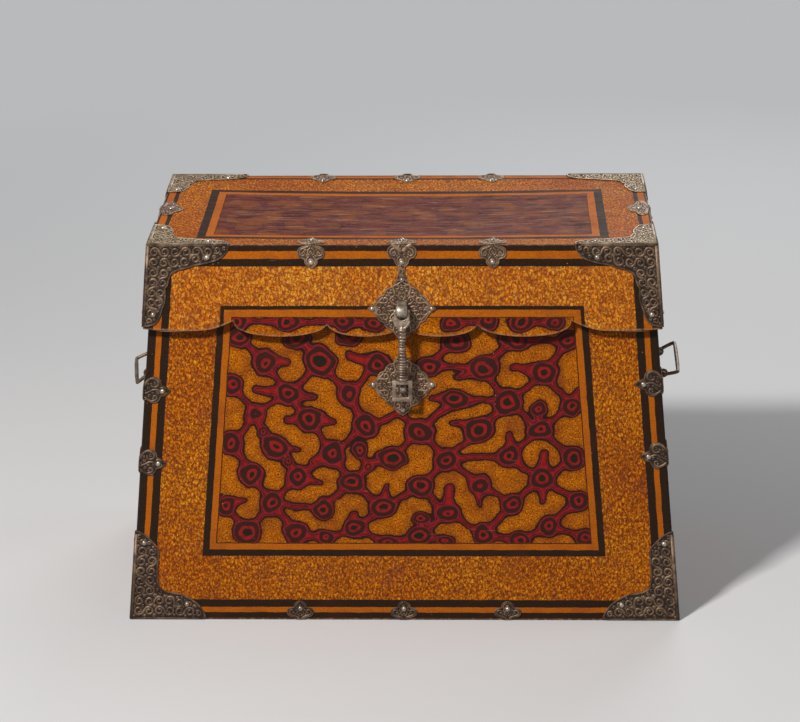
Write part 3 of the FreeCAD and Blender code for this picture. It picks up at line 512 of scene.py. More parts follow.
# The relief irons paint shade, with some grime, into their hollows and highlights onto their crests. The pierced iron's
# lighter tones are painted light on the lid's top leaf.
iron_relief = metal("pierced_iron", ((52, 36, 26), (86, 65, 49), (142, 116, 92)), hollow_grime_and_shade=(28, 19, 13),
                    top_tones=((96, 78, 58), (146, 124, 96), (198, 178, 146)))
plate_relief = metal("plate_iron", ((84, 64, 48), (124, 98, 76), (176, 148, 120)), hollow_grime_and_shade=(66, 46, 32))
iron_plain = metal("forged_iron", ((86, 70, 58), (134, 114, 98), (196, 178, 158)), 0.38, 0.55)
iron_bright = metal("bright_iron", ((110, 98, 86), (160, 148, 134), (206, 198, 186)), 0.32, 0.75)
steel = metal("worn_steel", ((60, 52, 44), (110, 98, 86), (160, 148, 134)), 0.35, 0.9)
board_wood = wood("old_board")


# The painted pattern of eyes

# Each eye is its place across and up the front wall, its half sizes in millimetres, and how wide its core is.
eyes = [(-163, 318, 15, 16, 1.0), (-193, 349, 14, 14, 1.2), (-201, 291, 13, 13, 0.9), (-98, 320, 19, 19, 1.5),
        (-135, 280, 16, 13, 1.0), (-64, 280, 14, 15, 0.7), (-175, 257, 13, 12, 0.5), (-111, 249, 17, 16, 1.2),
        (-44, 242, 15, 15, 0.9), (-204, 220, 14, 15, 0.8), (-152, 216, 16, 15, 1.1), (-165, 234, 7, 7, 1.3),
        (-84, 207, 15, 16, 0.9), (-51, 213, 10, 10, 1.0), (-13, 202, 19, 14, 1.2), (-29, 316, 15, 14, 1.0),
        (-125, 349, 16, 13, 1.3), (-63, 351, 15, 13, 1.0), (20, 235, 17, 15, 0.8), (63, 274, 18, 12, 1.1),
        (124, 270, 17, 16, 1.2), (161, 261, 10, 10, 0.9), (200, 266, 14, 12, 1.0), (90, 236, 18, 15, 1.2),
        (162, 236, 17, 12, 0.9), (51, 200, 15, 15, 1.0), (125, 204, 14, 14, 0.7), (203, 202, 14, 15, 1.2),
        (165, 176, 14, 14, 1.1), (20, 166, 16, 14, 1.2), (92, 169, 13, 12, 0.6), (208, 148, 14, 13, 1.0),
        (131, 144, 13, 14, 1.1), (53, 134, 16, 13, 0.9), (22, 127, 11, 8, 1.0), (173, 118, 13, 13, 1.0),
        (18, 105, 16, 12, 1.2), (96, 108, 14, 14, 1.0), (50, 98, 11, 8, 0.8), (140, 100, 14, 11, 1.1),
        (219, 103, 12, 12, 1.0), (31, 314, 17, 12, 1.1), (95, 311, 19, 15, 1.4), (167, 306, 16, 13, 1.0),
        (63, 345, 17, 13, 1.0), (132, 347, 19, 13, 1.2), (195, 344, 12, 12, 1.0), (-181, 181, 15, 15, 1.0),
        (-125, 178, 14, 14, 0.7), (-62, 171, 16, 13, 1.1), (-213, 143, 12, 13, 1.0), (-157, 146, 14, 13, 0.9),
        (-96, 139, 13, 13, 1.0), (-188, 110, 18, 15, 1.2), (-129, 109, 16, 15, 1.0), (-24, 141, 17, 13, 1.1),
        (-58, 115, 14, 13, 1.0), (-94, 103, 10, 10, 0.9), (-18, 97, 16, 10, 1.0), (-138, 197, 6, 6, 1.4),
        (-1, 256, 5, 5, 1.0), (-42, 192, 5, 5, 1.0)]
# Which eyes a channel joins.
channels = [(0, 1), (0, 4), (3, 4), (3, 5), (3, 16), (5, 15), (4, 6), (4, 7), (2, 6), (6, 9), (6, 11), (11, 10),
            (7, 12), (8, 12), (5, 8), (60, 8), (60, 18), (9, 47), (10, 59), (59, 48), (12, 48), (12, 49), (13, 61),
            (61, 14), (61, 49), (50, 53), (51, 47), (51, 53), (51, 48), (51, 52), (51, 54), (52, 49), (49, 55),
            (54, 57), (57, 56), (55, 56), (56, 58), (55, 29), (14, 18), (18, 25), (25, 29), (25, 26), (25, 23),
            (25, 30), (23, 20), (19, 20), (19, 18), (20, 42), (20, 43), (20, 24), (24, 22), (21, 24), (22, 43),
            (43, 46), (42, 45), (42, 41), (41, 44), (24, 27), (24, 26), (26, 28), (27, 28), (28, 31), (28, 32),
            (30, 32), (29, 33), (31, 35), (32, 37), (33, 37), (33, 36), (34, 36), (37, 39), (39, 35), (35, 40),
            (36, 38), (36, 58), (45, 46)]
# Short branches that end in a gold patch: the eye they leave, and where they end.
spurs = [(0, -137, 319), (4, -172, 285), (4, -103, 277), (7, -138, 249), (7, -83, 246), (10, -124, 212),
         (15, -62, 326), (19, 33, 275), (42, 63, 301), (43, 131, 312), (26, 127, 230), (23, 57, 247), (28, 168, 207),
         (28, 166, 150), (30, 91, 143), (33, 55, 165), (50, -192, 148), (55, -20, 168), (56, -61, 133),
         (22, 208, 286), (48, -97, 171), (12, -107, 198)]
lid_eyes = [(-192, 371, 13, 11, 1.0), (-135, 371, 16, 11, 1.2), (-69, 370, 14, 11, 1.0), (-32, 369, 14, 11, 1.0),
            (57, 370, 14, 11, 1.0), (101, 372, 13, 11, 0.9), (139, 372, 16, 13, 1.2), (179, 371, 13, 10, 1.0)]
lid_channels = [(0, 1), (1, 2), (2, 3), (4, 5), (6, 7)]

eye_share = 1.12
channel_half = 5.2
spur_halves = (8.6, 6.2, 1.2)


def drawn_pattern(eye_list, channel_list, spur_list):
    """Eyes, and runs from place to place with their half widths at both ends. Spurs narrow towards their ends."""
    runs = [(eye_list[a][:2], eye_list[b][:2], channel_half, channel_half) for a, b in channel_list]
    root, tip, step = spur_halves
    runs += [(eye_list[a][:2], (x, z), root, tip - step * (i % 3)) for i, (a, x, z) in enumerate(spur_list)]
    return {"eyes": eye_list, "runs": runs}


def grown_pattern(seed, left, right, low, high, spacing=45.0):
    """The same kind of pattern, laid out by chance over a rectangle, for the walls out of the photo's view."""
    chance = np.random.default_rng(seed)
    eye_list = []
    row = 0
    up = low
    while up < high:
        across = left + (row % 2) * spacing / 2
        while across < right:
            x = across + chance.uniform(-0.27, 0.27) * spacing
            z = up + chance.uniform(-0.24, 0.24) * spacing
            wide = chance.uniform(11.5, 17.0)
            eye_list.append((x, z, wide, wide * chance.uniform(0.72, 1.0), chance.uniform(0.6, 1.4)))
            across += spacing
        row += 1
        up += 0.84 * spacing
    spots = np.array([eye[:2] for eye in eye_list])
    apart = np.hypot(*(spots[:, None] - spots[None]).transpose(2, 0, 1))
    channel_list = []
    for i in range(len(spots)):
        for j in range(i + 1, len(spots)):
            # Two eyes are joined where no third one lies nearer to both of them
            others = ~np.isin(np.arange(len(spots)), (i, j))
            nearest = np.maximum(apart[i], apart[j]).min(initial=9e9, where=others)
            if apart[i, j] < 1.7 * spacing and nearest > apart[i, j]:
                channel_list.append((i, j))
    spur_list = []
    for i, (x, z) in enumerate(spots):
        if chance.random() < 0.6:
            ends = [(x + 26 * math.cos(turn), z + 26 * math.sin(turn)) for turn in np.arange(0, 6.28, 0.7)]
            room = [min(math.dist(end, other) for j, other in enumerate(spots) if j != i) for end in ends]
            spur_list.append((i, *ends[int(np.argmax(room))]))
    return drawn_pattern(eye_list, channel_list, spur_list)


def paint_pattern(thing, across, up, pattern, seed):
    """Gives each point how deep it lies inside the marks, in mm, and how far out it lies in the nearest eye."""
    def drift(scale, shift):
        """Two soft noises over the sheet, up to 1 either way, the same in every run."""
        return [np.array([noise.noise(Vector((a / scale, b / scale, seed + level))) for a, b in zip(across, up)])
                for level in (shift, shift + 40.0)]

    (warp_a, warp_b), (fine_a, fine_b) = drift(17.0, 0.37), drift(6.0, 9.37)
    a = across + 3.3 * warp_a + 0.9 * fine_a
    b = up + 3.3 * warp_b + 0.9 * fine_b
    soft = 2.3
    total = np.zeros(len(a))
    nearest = np.full(len(a), 1.5)
    rings = np.full(len(a), 2.0)
    for x, z, wide, high, core in pattern["eyes"]:
        out = np.hypot((a - x) / wide, (b - z) / high) / eye_share
        total += np.exp(np.clip((1 - out) * min(wide, high) * eye_share / soft, -30, 30))
        closer = out < nearest
        nearest = np.where(closer, out, nearest)
        rings = np.where(closer, out ** (2 * core), rings)
    for (x0, z0), (x1, z1), from_half, to_half in pattern["runs"]:
        length = (x1 - x0) ** 2 + (z1 - z0) ** 2 + 1e-9
        along = np.clip(((a - x0) * (x1 - x0) + (b - z0) * (z1 - z0)) / length, 0, 1)
        away = np.hypot(a - x0 - along * (x1 - x0), b - z0 - along * (z1 - z0))
        total += np.exp(np.clip((from_half + (to_half - from_half) * along - away) / soft, -30, 30))
    set_attribute(thing, "marks", "FLOAT", soft * np.log(total + 1e-12) - 0.4)
    set_attribute(thing, "rings", "FLOAT", rings)


# Hide over the boards

def spread(start, end, fine_from, fine_to, coarse, fine):
    """Places from start to end, close together between fine_from and fine_to."""
    places = []
    for low, high, pitch in ((start, fine_from, coarse), (fine_from, fine_to, fine), (fine_to, end, coarse)):
        if high > low:
            count = max(1, round((high - low) / pitch))
            places += [low + (high - low) * i / count for i in range(count)]
    return places + [end]


def both_ways(places):
    """The places, which start at 0, and their mirror images."""
    return [-place for place in places[:0:-1]] + places


def sheet_grid(name, columns, rows):
    """A flat grid with one point for each column and row, as (object, column of each point, row of each point)."""
    thing = made(bpy.ops.mesh.primitive_grid_add, x_subdivisions=len(columns) - 1, y_subdivisions=len(rows) - 1,
                 size=2.0)
    thing.name = thing.data.name = name
    spots = points_of(thing)
    i = np.rint((spots[:, 0] + 1) / 2 * (len(columns) - 1)).astype(int)
    j = np.rint((spots[:, 1] + 1) / 2 * (len(rows) - 1)).astype(int)
    return thing, np.asarray(columns)[i], np.asarray(rows)[j]


def rounding(distance, radius):
    """How far back a rounded corner stands, this far along the face from its edge."""
    short = np.clip(radius - distance, 0, radius)
    return radius - np.sqrt(radius ** 2 - short ** 2)


def finish_sheet(thing, places, flat, lifted, inset, pattern, seed, body, node, material):
    """Bends, paints and thickens a sheet. flat is where its points lie on the unrolled hide, inset how far from its
    sides, lower and upper edge."""
    move_points(thing, stacked(*places))
    across, up = flat
    set_attribute(thing, "flat", "FLOAT_VECTOR", stacked(across + 500, up + lifted, seed))
    set_attribute(thing, "inset", "FLOAT_VECTOR", stacked(*inset))
    paint_pattern(thing, across, up, pattern, seed)
    thing.data.materials.append(material)
    thing.data.materials.append(hide_edge)
    modify(thing, ("SOLIDIFY", {"thickness": hide * mm, "offset": -1.0, "use_rim": True, "material_offset_rim": 1}))
    smooth(thing, 40)
    declare(thing, body, node)


def wall_hide(prefix, side, out, low, high, pattern, seed, fine, fine_low, fine_inset, material, body):
    """Lacquered hide over one leaning wall. Front and back run round the corners, the sides fit between them."""
    wraps = side in ("front", "back")
    long_half, out_half = (half_x, half_y) if wraps else (half_y, half_x)
    long_out, face_out = out if wraps else out[::-1]
    widest = long_half(low, long_out)
    edge = 0.0 if wraps else corner_round
    right = spread(0.0, widest - 6.0, 0.0, widest - fine_inset, 9.0, fine)
    right += [widest - d for d in (4.0, 2.4, 1.6, 0.9, 0.3, 0.0) if d >= edge]
    columns = both_ways(sorted(set([min(place, widest - edge) for place in right])))
    rows = spread(0.0, 1.0, fine_low, 1.0, 9.0 / (high - low), fine / (high - low))
    thing, across, share = sheet_grid(f"{prefix}{side}_skin", columns, rows)
    scalloped = (prefix, side) == ("lid_", "front")
    start = np.array([scallop_z(x) for x in across]) if scalloped else np.full(len(across), low)
    z = start + share * (high - start)
    half = long_half(z, long_out)
    flat_x = across * half / widest
    inset = half - np.abs(flat_x)
    swell = np.array([noise.noise(Vector((x / 70.0, h / 70.0, seed + 3.0))) for x, h in zip(flat_x, z)])
    back = rounding(inset, corner_round) - 0.25 * swell * np.clip(inset / 30.0, 0, 1)
    faces = {"front": (1, 0, 0, -1), "back": (-1, 0, 0, 1), "left": (0, -1, -1, 0), "right": (0, 1, 1, 0)}
    along_x, along_y, out_x, out_y = faces[side]
    depth = out_half(z, face_out) - back
    finish_sheet(thing, (along_x * flat_x + out_x * depth, along_y * flat_x + out_y * depth, z), (flat_x, z), 0.0,
                 (inset, z - start, high - z), pattern, seed, body, f"{prefix}{side}_hide", material)


def top_hide():
    """Lacquered hide over the sunken top of the lid."""
    x_edge = half_x(total_height, lid_out[0])
    y_edge = half_y(total_height, lid_out[1])
    lines = []
    for edge, coarse_from, coarse in ((x_edge, 55.0, 9.0), (y_edge, 25.0, 7.0)):
        lines.append(both_ways(spread(0.0, edge - 5.0, 0.0, edge - coarse_from, coarse, 3.0) +
                               [edge - d for d in (2.4, 1.2, 0.5, 0.0)]))
    thing, x, y = sheet_grid("lid_top_skin", *lines)
    in_x = x_edge - np.abs(x)
    in_y = y_edge - np.abs(y)
    creases = np.array([noise.noise(Vector((a / 60.0, b / 12.0, 8.0))) for a, b in zip(x, y)])
    calm = np.clip(np.minimum(in_x, in_y) / 40.0, 0, 1)
    z = total_height - sag_at(x, y) - rounding(in_x, 1.6) - rounding(in_y, 1.6) + 0.5 * creases * calm
    finish_sheet(thing, (x, y, z), (x, y), 500, (in_x, y + y_edge, y_edge - y),
                 grown_pattern(11, -250, 250, -130, 130), 9.0, "lid", "lid_top_hide", top_lacquer)


front_pattern = drawn_pattern(eyes, channels, spurs)
under_lid = grown_pattern(3, -225, 225, 392, 440)
front_pattern = {part: front_pattern[part] + under_lid[part] for part in front_pattern}
for side, pattern, seed, fine in (
        ("front", front_pattern, 0.0, 2.15),
        ("back", grown_pattern(5, -240, 240, 90, 440), 2.0, 2.4),
        ("left", grown_pattern(6, -100, 100, 90, 440), 4.0, 2.4),
        ("right", grown_pattern(7, -100, 100, 90, 440), 6.0, 2.4)):
    wall_hide("", side, body_out, 0.0, rim_z, pattern, seed, fine, 0.18, 92.0, body_lacquer, "trunk")
for side, low, pattern, seed, fine in (
        ("front", skirt_z - scallop_drop, drawn_pattern(lid_eyes, lid_channels, []), 1.0, 2.2),
        ("back", skirt_z, grown_pattern(8, -220, 220, 350, 392), 3.0, 2.6),
        ("left", skirt_z, grown_pattern(9, -90, 90, 350, 392), 5.0, 2.6),
        ("right", skirt_z, grown_pattern(10, -90, 90, 350, 392), 7.0, 2.6)):
    wall_hide("lid_", side, lid_out, low, total_height - 0.2, pattern, seed, fine, 0.0, 80.0, lid_lacquer, "lid")
top_hide()


# Pierced iron mounts. A leaf is drawn flat: a runs along the wall from the fold, b down from the other edge, h out.

flat_pieces = []


def wire(name, lines, radius, sides):
    """Round strands through the points of each line, one mesh for all. A point is (x, y, z, share of the radius)."""
    curve = bpy.data.curves.new(name, "CURVE")
    curve.dimensions = "3D"
    curve.bevel_depth = radius * mm
    curve.bevel_resolution = sides
    curve.use_fill_caps = True
    for line in lines:
        spline = curve.splines.new("POLY")
        spline.points.add(len(line) - 1)
        for point, (x, y, z, share) in zip(spline.points, line):
            point.co = (x * mm, y * mm, z * mm, 1.0)
            point.radius = share
    thing = bpy.data.objects.new(name, curve)
    bpy.context.scene.collection.objects.link(thing)
    choose(thing)
    bpy.ops.object.convert(target="MESH")
    return bpy.context.view_layer.objects.active


def strands_mesh(lines, radius, sides=1):
    """The same for flat lines of (a, b, share of the radius)."""
    return wire("strands", [[(a, b, 0.0, share) for a, b, share in line] for line in lines], radius, sides)


def pressed(thing, middle, squeeze):
    """Flattens a strand and puts its middle this high in millimetres."""
    spots = points_of(thing)
    spots[:, 2] = middle * mm + spots[:, 2] * squeeze
    move_points(thing, spots)
    return thing


def through(corners, pieces=6, closed=False):
    """Points on a soft line through the corners."""
    count = len(corners)
    line = []
    for i in range(count if closed else count - 1):
        near = [(i + k) % count if closed else min(max(i + k, 0), count - 1) for k in (-1, 0, 1, 2)]
        for step in range(pieces):
            t = step / pieces
            line.append(tuple(0.5 * (2 * q + (r - p) * t + (2 * p - 5 * q + 4 * r - s) * t * t +
                                     (3 * q - p - 3 * r + s) * t ** 3)
                              for p, q, r, s in zip(*(corners[k] for k in near))))
    return line if closed else line + [corners[-1]]


def softened(lines):
    return [through(line, 3) for line in lines]


def s_scroll(start, end, radius=5.6, turns=1.25, way=1):
    """A strand that uncurls from one place and curls up the other way at the next."""
    reach = math.dist(start, end)
    radius = min(radius, 0.49 * reach)
    heading = math.atan2(end[1] - start[1], end[0] - start[0])
    leave = heading - way * math.acos(2 * radius / reach)
    half = []
    count = 15
    for i in range(count + 1):
        share = i / count
        angle = leave - way * 2 * math.pi * turns * (1 - share)
        out = radius * (0.30 + 0.70 * share ** 0.85)
        thick = 1.35 if i == 0 else 0.70 + 0.35 * share
        half.append((start[0] + out * math.cos(angle), start[1] + out * math.sin(angle), thick))
    middle = ((start[0] + end[0]) / 2, (start[1] + end[1]) / 2)
    return half + [(2 * middle[0] - a, 2 * middle[1] - b, thick) for a, b, thick in reversed(half)]


def comma(place, radius, angle=0.0, turns=1.1, way=1):
    """A single curl with a tail."""
    line = []
    for i in range(15):
        share = i / 14
        turn = math.radians(angle) + way * 2 * math.pi * turns * share
        out = radius * (0.25 + 0.75 * share)
        thick = 1.4 if i == 0 else 1.0 - 0.35 * share
        line.append((place[0] + out * math.cos(turn), place[1] + out * math.sin(turn), thick))
    return line


def drawn_plate(outline, thick=0.55):
    """A thin plate with this outline, from h 0.05 up."""
    thing = made(bpy.ops.mesh.primitive_circle_add, vertices=len(outline), radius=1.0, fill_type="NGON")
    move_points(thing, [(a * mm, b * mm, 0.05 * mm) for a, b in outline])
    in_edit_mode(thing, lambda: bpy.ops.mesh.quads_convert_to_tris(), lambda: bpy.ops.mesh.extrude_region_move(
        TRANSFORM_OT_translate={"value": (0, 0, thick * mm)}), lambda: bpy.ops.mesh.select_all(action="SELECT"),
        lambda: bpy.ops.mesh.normals_make_consistent(inside=False))
    return thing


def dome(a, b, up, radius, squash, segments, ring_count):
    """A flattened ball with its middle at a, b and this far up."""
    thing = made(bpy.ops.mesh.primitive_uv_sphere_add, segments=segments, ring_count=ring_count, radius=radius * mm)
    move_points(thing, points_of(thing) * (1.0, 1.0, squash) + np.array((a, b, up)) * mm)
    return thing


def leaf(name, outline, strands, strips=(), bosses=(), radius=1.4, rim=1.1, lower=0.0):
    """One leaf of a mount, flat: plate, rim, strands, flat strips beside the folds and bosses under its rivets."""
    edge = [(a, b, 1.0) for a, b in outline + outline[:1]]
    # The plate under the strands takes painted shade and grime in the material: it stands in for the shadowed gaps of
    # the piercing.
    parts = [drawn_plate(outline), pressed(strands_mesh(strands, radius), 0.80, 0.62),
             pressed(strands_mesh([edge], rim), 0.75, 0.75)]
    for a0, b0, a1, b1 in strips:
        band = [(a0, b0, 1.0), ((a0 + a1) / 2, (b0 + b1) / 2, 1.0), (a1, b1, 0.9)]
        parts.append(pressed(strands_mesh([band], 2.5, 3), 0.75, 0.44))
    parts += [dome(a, b, 0.3, 4.2, 1.3 / 4.2, 16, 8) for a, b in bosses]
    whole = joined(name, parts)
    # lift gives the material each point's height for its painted shade and highlights; lower sinks it so that more of
    # the leaf is shaded.
    set_attribute(whole, "lift", "FLOAT", points_of(whole)[:, 2] - lower * mm)
    smooth(whole, 50)
    flat_pieces.append(whole)
    return whole


def studs(name, spots):
    """Domed rivet heads, flat like the leaf that they hold."""
    whole = joined(name, [dome(a, b, 1.2, 3.1, 0.72, 20, 12) for a, b in spots])
    smooth(whole, 60)
    flat_pieces.append(whole)
    return whole


def laid(thing, onto):
    """A copy of a flat leaf, bent onto a wall. onto takes a, b and h in millimetres and gives x, y and z."""
    copy = copied(thing, unmoved)
    move_points(copy, stacked(*onto(*(points_of(copy) / mm).T)))
    return copy


def on_wall(face, out, start, way, along=None, turned=False):
    """Onto the front or left wall. Heights run from start, up (1) or down (-1). a is measured from the middle at
    along, or else from the corner. Turned lays a up the corner and b away from it."""
    def onto(a, b, h):
        if turned:
            a, b = b, a
        z = start + way * b
        if face == "front":
            x = -(half_x(z, out[0] + iron_layer) - a) if along is None else along + a
            return x, -(half_y(z, out[1]) + h), z
        y = -(half_y(z, out[1] + iron_layer) - a) if along is None else along + a
        return -(half_x(z, out[0]) + h), y, z
    return onto


def on_top(face, along=None):
    """Onto the lid's top, where b runs in from the front or left edge."""
    def onto(a, b, h):
        x_edge = half_x(lid_top_iron, lid_out[0] + iron_layer)
        y_edge = half_y(lid_top_iron, lid_out[1] + iron_layer)
        if face == "left":
            x, y = -(x_edge - b), along + a
        else:
            x, y = -(x_edge - a) if along is None else along + a, -(y_edge - b)
        return x, y, total_height - sag_at(x, y) + h
    return onto


def over_edge(piece, face, along):
    """A leaf on the lid's upright wall and one on its top."""
    return [laid(piece, on_wall(face, lid_out, lid_top_iron, -1, along)), laid(piece, on_top(face, along))]


lid_outline = [(0.6, 0.8), (40, 0.8), (94, 0.8), (96, 3), (94, 10), (88, 17), (80, 21), (71, 23.5), (63, 25),
               (56, 26.5), (49, 29), (39, 31.5), (31, 36), (28.5, 43), (27, 50), (24.5, 54), (25.5, 62), (25, 71),
               (22.5, 79), (20.5, 88), (15.5, 96), (7, 98.5), (0.6, 99), (0.6, 60), (0.6, 30)]
base_outline = [(0.6, 0.8), (40, 0.8), (88, 0.8), (91, 2.5), (89.5, 7), (85, 14), (77, 22), (67, 27.5), (60, 31),
                (53, 32), (47, 33.5), (40, 35), (34, 39), (31.5, 45), (30, 53), (29.5, 64), (30, 74), (29, 87),
                (22.5, 96), (12.5, 105), (4, 109.5), (0.6, 110), (0.6, 75), (0.6, 35)]
# Scrolls: where they start and end and which way they curl. Commas: place, size, angle and way.
lid_scrolls = [((10, 11), (22, 10.5), 1), ((34.5, 10.5), (47, 10.5), -1), ((59.5, 10), (72, 10), 1), ((10, 23),
               (10, 35), -1), ((22, 23.5), (34, 23), 1), ((46, 21.5), (58, 18.5), -1), ((22, 36), (21.5, 47), 1),
               ((10, 47), (10, 59), 1), ((10, 71), (10, 83), -1), ((20, 60), (18, 70.5), -1)]
lid_commas = [(83, 8, 4.6, 90, 1), (70.5, 18.5, 4.0, 200, -1), (8, 93, 3.8, 0, 1), (15.5, 80, 3.4, 60, -1),
              (28, 31, 2.4, 0, 1), (28.3, 16.7, 2.2, 0, 1), (53, 15, 2.0, 0, 1), (16, 29.5, 2.0, 0, 1),
              (15.8, 53, 2.0, 0, 1)]
base_scrolls = [((10, 10.5), (22.5, 10), 1), ((35, 10.5), (47.5, 10.5), -1), ((60, 10), (72, 9), 1), ((10, 23),
                (10, 35.5), -1), ((22.5, 22.5), (34.5, 23), 1), ((46.5, 23), (58.5, 20.5), -1), ((22, 35.5), (22, 48),
                1), ((10, 48), (10, 60), 1), ((22.5, 60.5), (22.5, 73), -1), ((10, 72.5), (10, 85), -1)]
base_commas = [(82.5, 7, 4.2, 90, 1), (70.5, 19, 4.2, 200, -1), (22, 84.5, 5.0, 0, 1), (9.5, 97, 4.6, 0, 1),
               (18, 95, 2.6, 60, -1), (28.5, 30, 2.4, 0, 1), (41, 28.5, 2.6, 0, 1), (29, 16.5, 2.0, 0, 1),
               (53.5, 16, 2.2, 0, 1), (16, 29.5, 2.0, 0, 1), (16, 54, 2.0, 0, 1), (16, 79, 2.0, 0, 1)]


def cornered(fold, outline, other_fold):
    """The free edge as a soft line, with the two straight folds and their corner left as drawn."""
    return through(outline[2:-2], 3) + other_fold + fold


def inside(outline, a, b):
    """Whether each point lies within the outline."""
    hit = np.zeros(len(a), bool)
    for (a0, b0), (a1, b1) in zip(outline, outline[1:] + outline[:1]):
        if b0 != b1:
            hit ^= ((b0 > b) != (b1 > b)) & (a < (a1 - a0) * (b - b0) / (b1 - b0) + a0)
    return hit


def filled(outline, lines, half, biggest=3.4, least=1.7, rim=1.2):
    """Adds small curls in the open places between the strands, the largest place first."""
    corners = np.array(outline)
    a, b = (v.ravel() for v in np.meshgrid(np.arange(corners[:, 0].min(), corners[:, 0].max(), 0.8),
                                           np.arange(corners[:, 1].min(), corners[:, 1].max(), 0.8)))
    keep = inside(outline, a, b)
    a, b = a[keep], b[keep]
    room = np.full(len(a), 99.0)
    taken = [(p, q, half * share) for line in lines for p, q, share in line]
    taken += [((p0 + p1) / 2, (q0 + q1) / 2, half * s0) for line in lines
              for (p0, q0, s0), (p1, q1, _) in zip(line, line[1:])]
    for (p0, q0), (p1, q1) in zip(outline, outline[1:] + outline[:1]):
        steps = max(int(math.dist((p0, q0), (p1, q1)) / 1.5), 1)
        taken += [(p0 + (p1 - p0) * i / steps, q0 + (q1 - q0) * i / steps, rim) for i in range(steps)]
    for p, q, thick in taken:
        room = np.minimum(room, np.hypot(a - p, b - q) - thick)
    added = []
    while room.max() > least and len(added) < 160:
        spot = int(room.argmax())
        radius = min(biggest, room[spot] * 0.72)
        curl = comma((a[spot], b[spot]), radius, 137.5 * len(added), 0.9, 1 if len(added) % 2 else -1)
        added.append([(p, q, share * min(1.0, 0.45 + radius / 5.0)) for p, q, share in curl])
        room = np.minimum(room, np.hypot(a - a[spot], b - b[spot]) - radius - half * 0.8)
    return list(lines) + added


def ornament(outline, scrolls, commas):
    """The drawn scrolls and commas of a corner leaf, with small curls between them."""
    lines = [s_scroll(start, end, 5.7, 1.25, way) for start, end, way in scrolls]
    lines += [comma((a, b), radius, angle, 1.15, way) for a, b, radius, angle, way in commas]
    return filled(outline, lines, 1.45)


top_share = 0.84
base_nails = [(68.1, 18.9), (12.0, 95.5)]
lid_soft = cornered([(a, 0.8) for a in (0.6, 20, 40, 60, 80)], lid_outline, [(0.6, 60), (0.6, 30)])
base_soft = cornered([(a, 0.8) for a in (0.6, 20, 40, 60)], base_outline, [(0.6, 75), (0.6, 35)])
lid_strands = ornament(lid_soft, lid_scrolls, lid_commas)
lid_leaf = leaf("lid_leaf", lid_soft, lid_strands, [(1.9, 0.8, 1.9, 96), (0.8, 1.9, 90, 1.9)],
                [(71.8, 16.8), (12.9, 85.1)], radius=1.55)
# The top leaf is sunk 0.4 mm in its lift, so that more of it takes the painted shade of the hollows.
top_leaf = leaf("top_leaf", [(a, b * top_share) for a, b in lid_soft],
                [[(a, b * top_share, share) for a, b, share in line] for line in lid_strands],
                [(1.9, 0.8, 1.9, 80), (0.8, 1.9, 90, 1.9)], [(71.8, 14.1), (12.9, 71.3)], radius=1.45, lower=0.4)
base_leaf = leaf("base_leaf", base_soft, ornament(base_soft, base_scrolls, base_commas), [(1.9, 1, 1.9, 107)],
                 base_nails, radius=1.55)


def four_corners(name, node, pieces, body):
    mount = joined(name, pieces)
    outward(mount)
    for side, across in (("left", unmoved), ("right", mirror_x)):
        for end, along in (("front", unmoved), ("back", mirror_y)):
            dress(copied(mount, across @ along), f"{name}_{end}_{side}", iron_relief, body, f"{node}_{end}_{side}")
    bpy.data.objects.remove(mount)


def at_foot(piece, face, along=None):
    return laid(piece, on_wall(face, body_out, iron_foot, 1, along))


lid_faces = [laid(lid_leaf, on_wall(face, lid_out, lid_top_iron, -1)) for face in ("front", "left")]
lid_faces.append(laid(top_leaf, on_top("front")))
# The leaf on the lid's top is marked for lighter tones, painted light as if lit from above.
set_attribute(lid_faces[2], "lit_top", "FLOAT", np.ones(len(lid_faces[2].data.vertices)))
four_corners("lid_mount", "lid_corner", lid_faces, "lid")
four_corners("base_mount", "base_corner", [at_foot(base_leaf, face) for face in ("front", "left")], "trunk")
base_studs = studs("base_studs", base_nails)
body_studs = [at_foot(base_studs, face) for face in ("front", "left")]


# Trefoil clips over the edges, one leaf on each side of the fold: a runs along the fold, b away from it

clip_outline = [(-4.5, 0.6), (4.5, 0.6), (6, 3.5), (10, 4.5), (14, 6.5), (15.5, 11), (14, 16), (9.5, 18), (7, 19.5),
                (7, 23), (4.5, 26.5), (1.5, 28.6), (-1.5, 28.6), (-4.5, 26.5), (-7, 23), (-7, 19.5), (-9.5, 18),
                (-14, 16), (-15.5, 11), (-14, 6.5), (-10, 4.5), (-6, 3.5)]
clip_half = [[(2.6, 0.8, 0.9), (3.2, 3.5, 1.0), (7.5, 5.6, 1.0), (12, 7.6, 1.0), (13.4, 11, 1.0), (11.8, 14.4, 1.0),
              (8.6, 14.6, 0.9), (7.2, 11.8, 0.8), (9.4, 9.8, 1.1)],
             [(2.4, 15.5, 0.7), (4.8, 18.6, 0.9), (5.2, 22, 1.0), (3.0, 25.4, 1.0), (0.6, 27, 0.8)],
             [(0.6, 5.5, 0.8), (3.4, 8.4, 1.0), (3.6, 12, 0.9), (1.2, 14.6, 0.7)]]
spade_outline = [(-9.5, 0.6), (9.5, 0.6), (10, 3.5), (13, 4), (16, 7), (16.5, 12), (14, 16.5), (10, 18), (8.2, 20),
                 (7.2, 23.5), (4.4, 27), (0, 31.5), (-4.4, 27), (-7.2, 23.5), (-8.2, 20), (-10, 18), (-14, 16.5),
                 (-16.5, 12), (-16, 7), (-13, 4), (-10, 3.5)]
fold_mark = [[(-12, 0.9, 2.2), (-6.5, 4.5, 2.5), (0, 11, 2.0)],
             [(12, 0.9, 2.2), (6.5, 4.5, 2.5), (0, 11, 2.0)]]
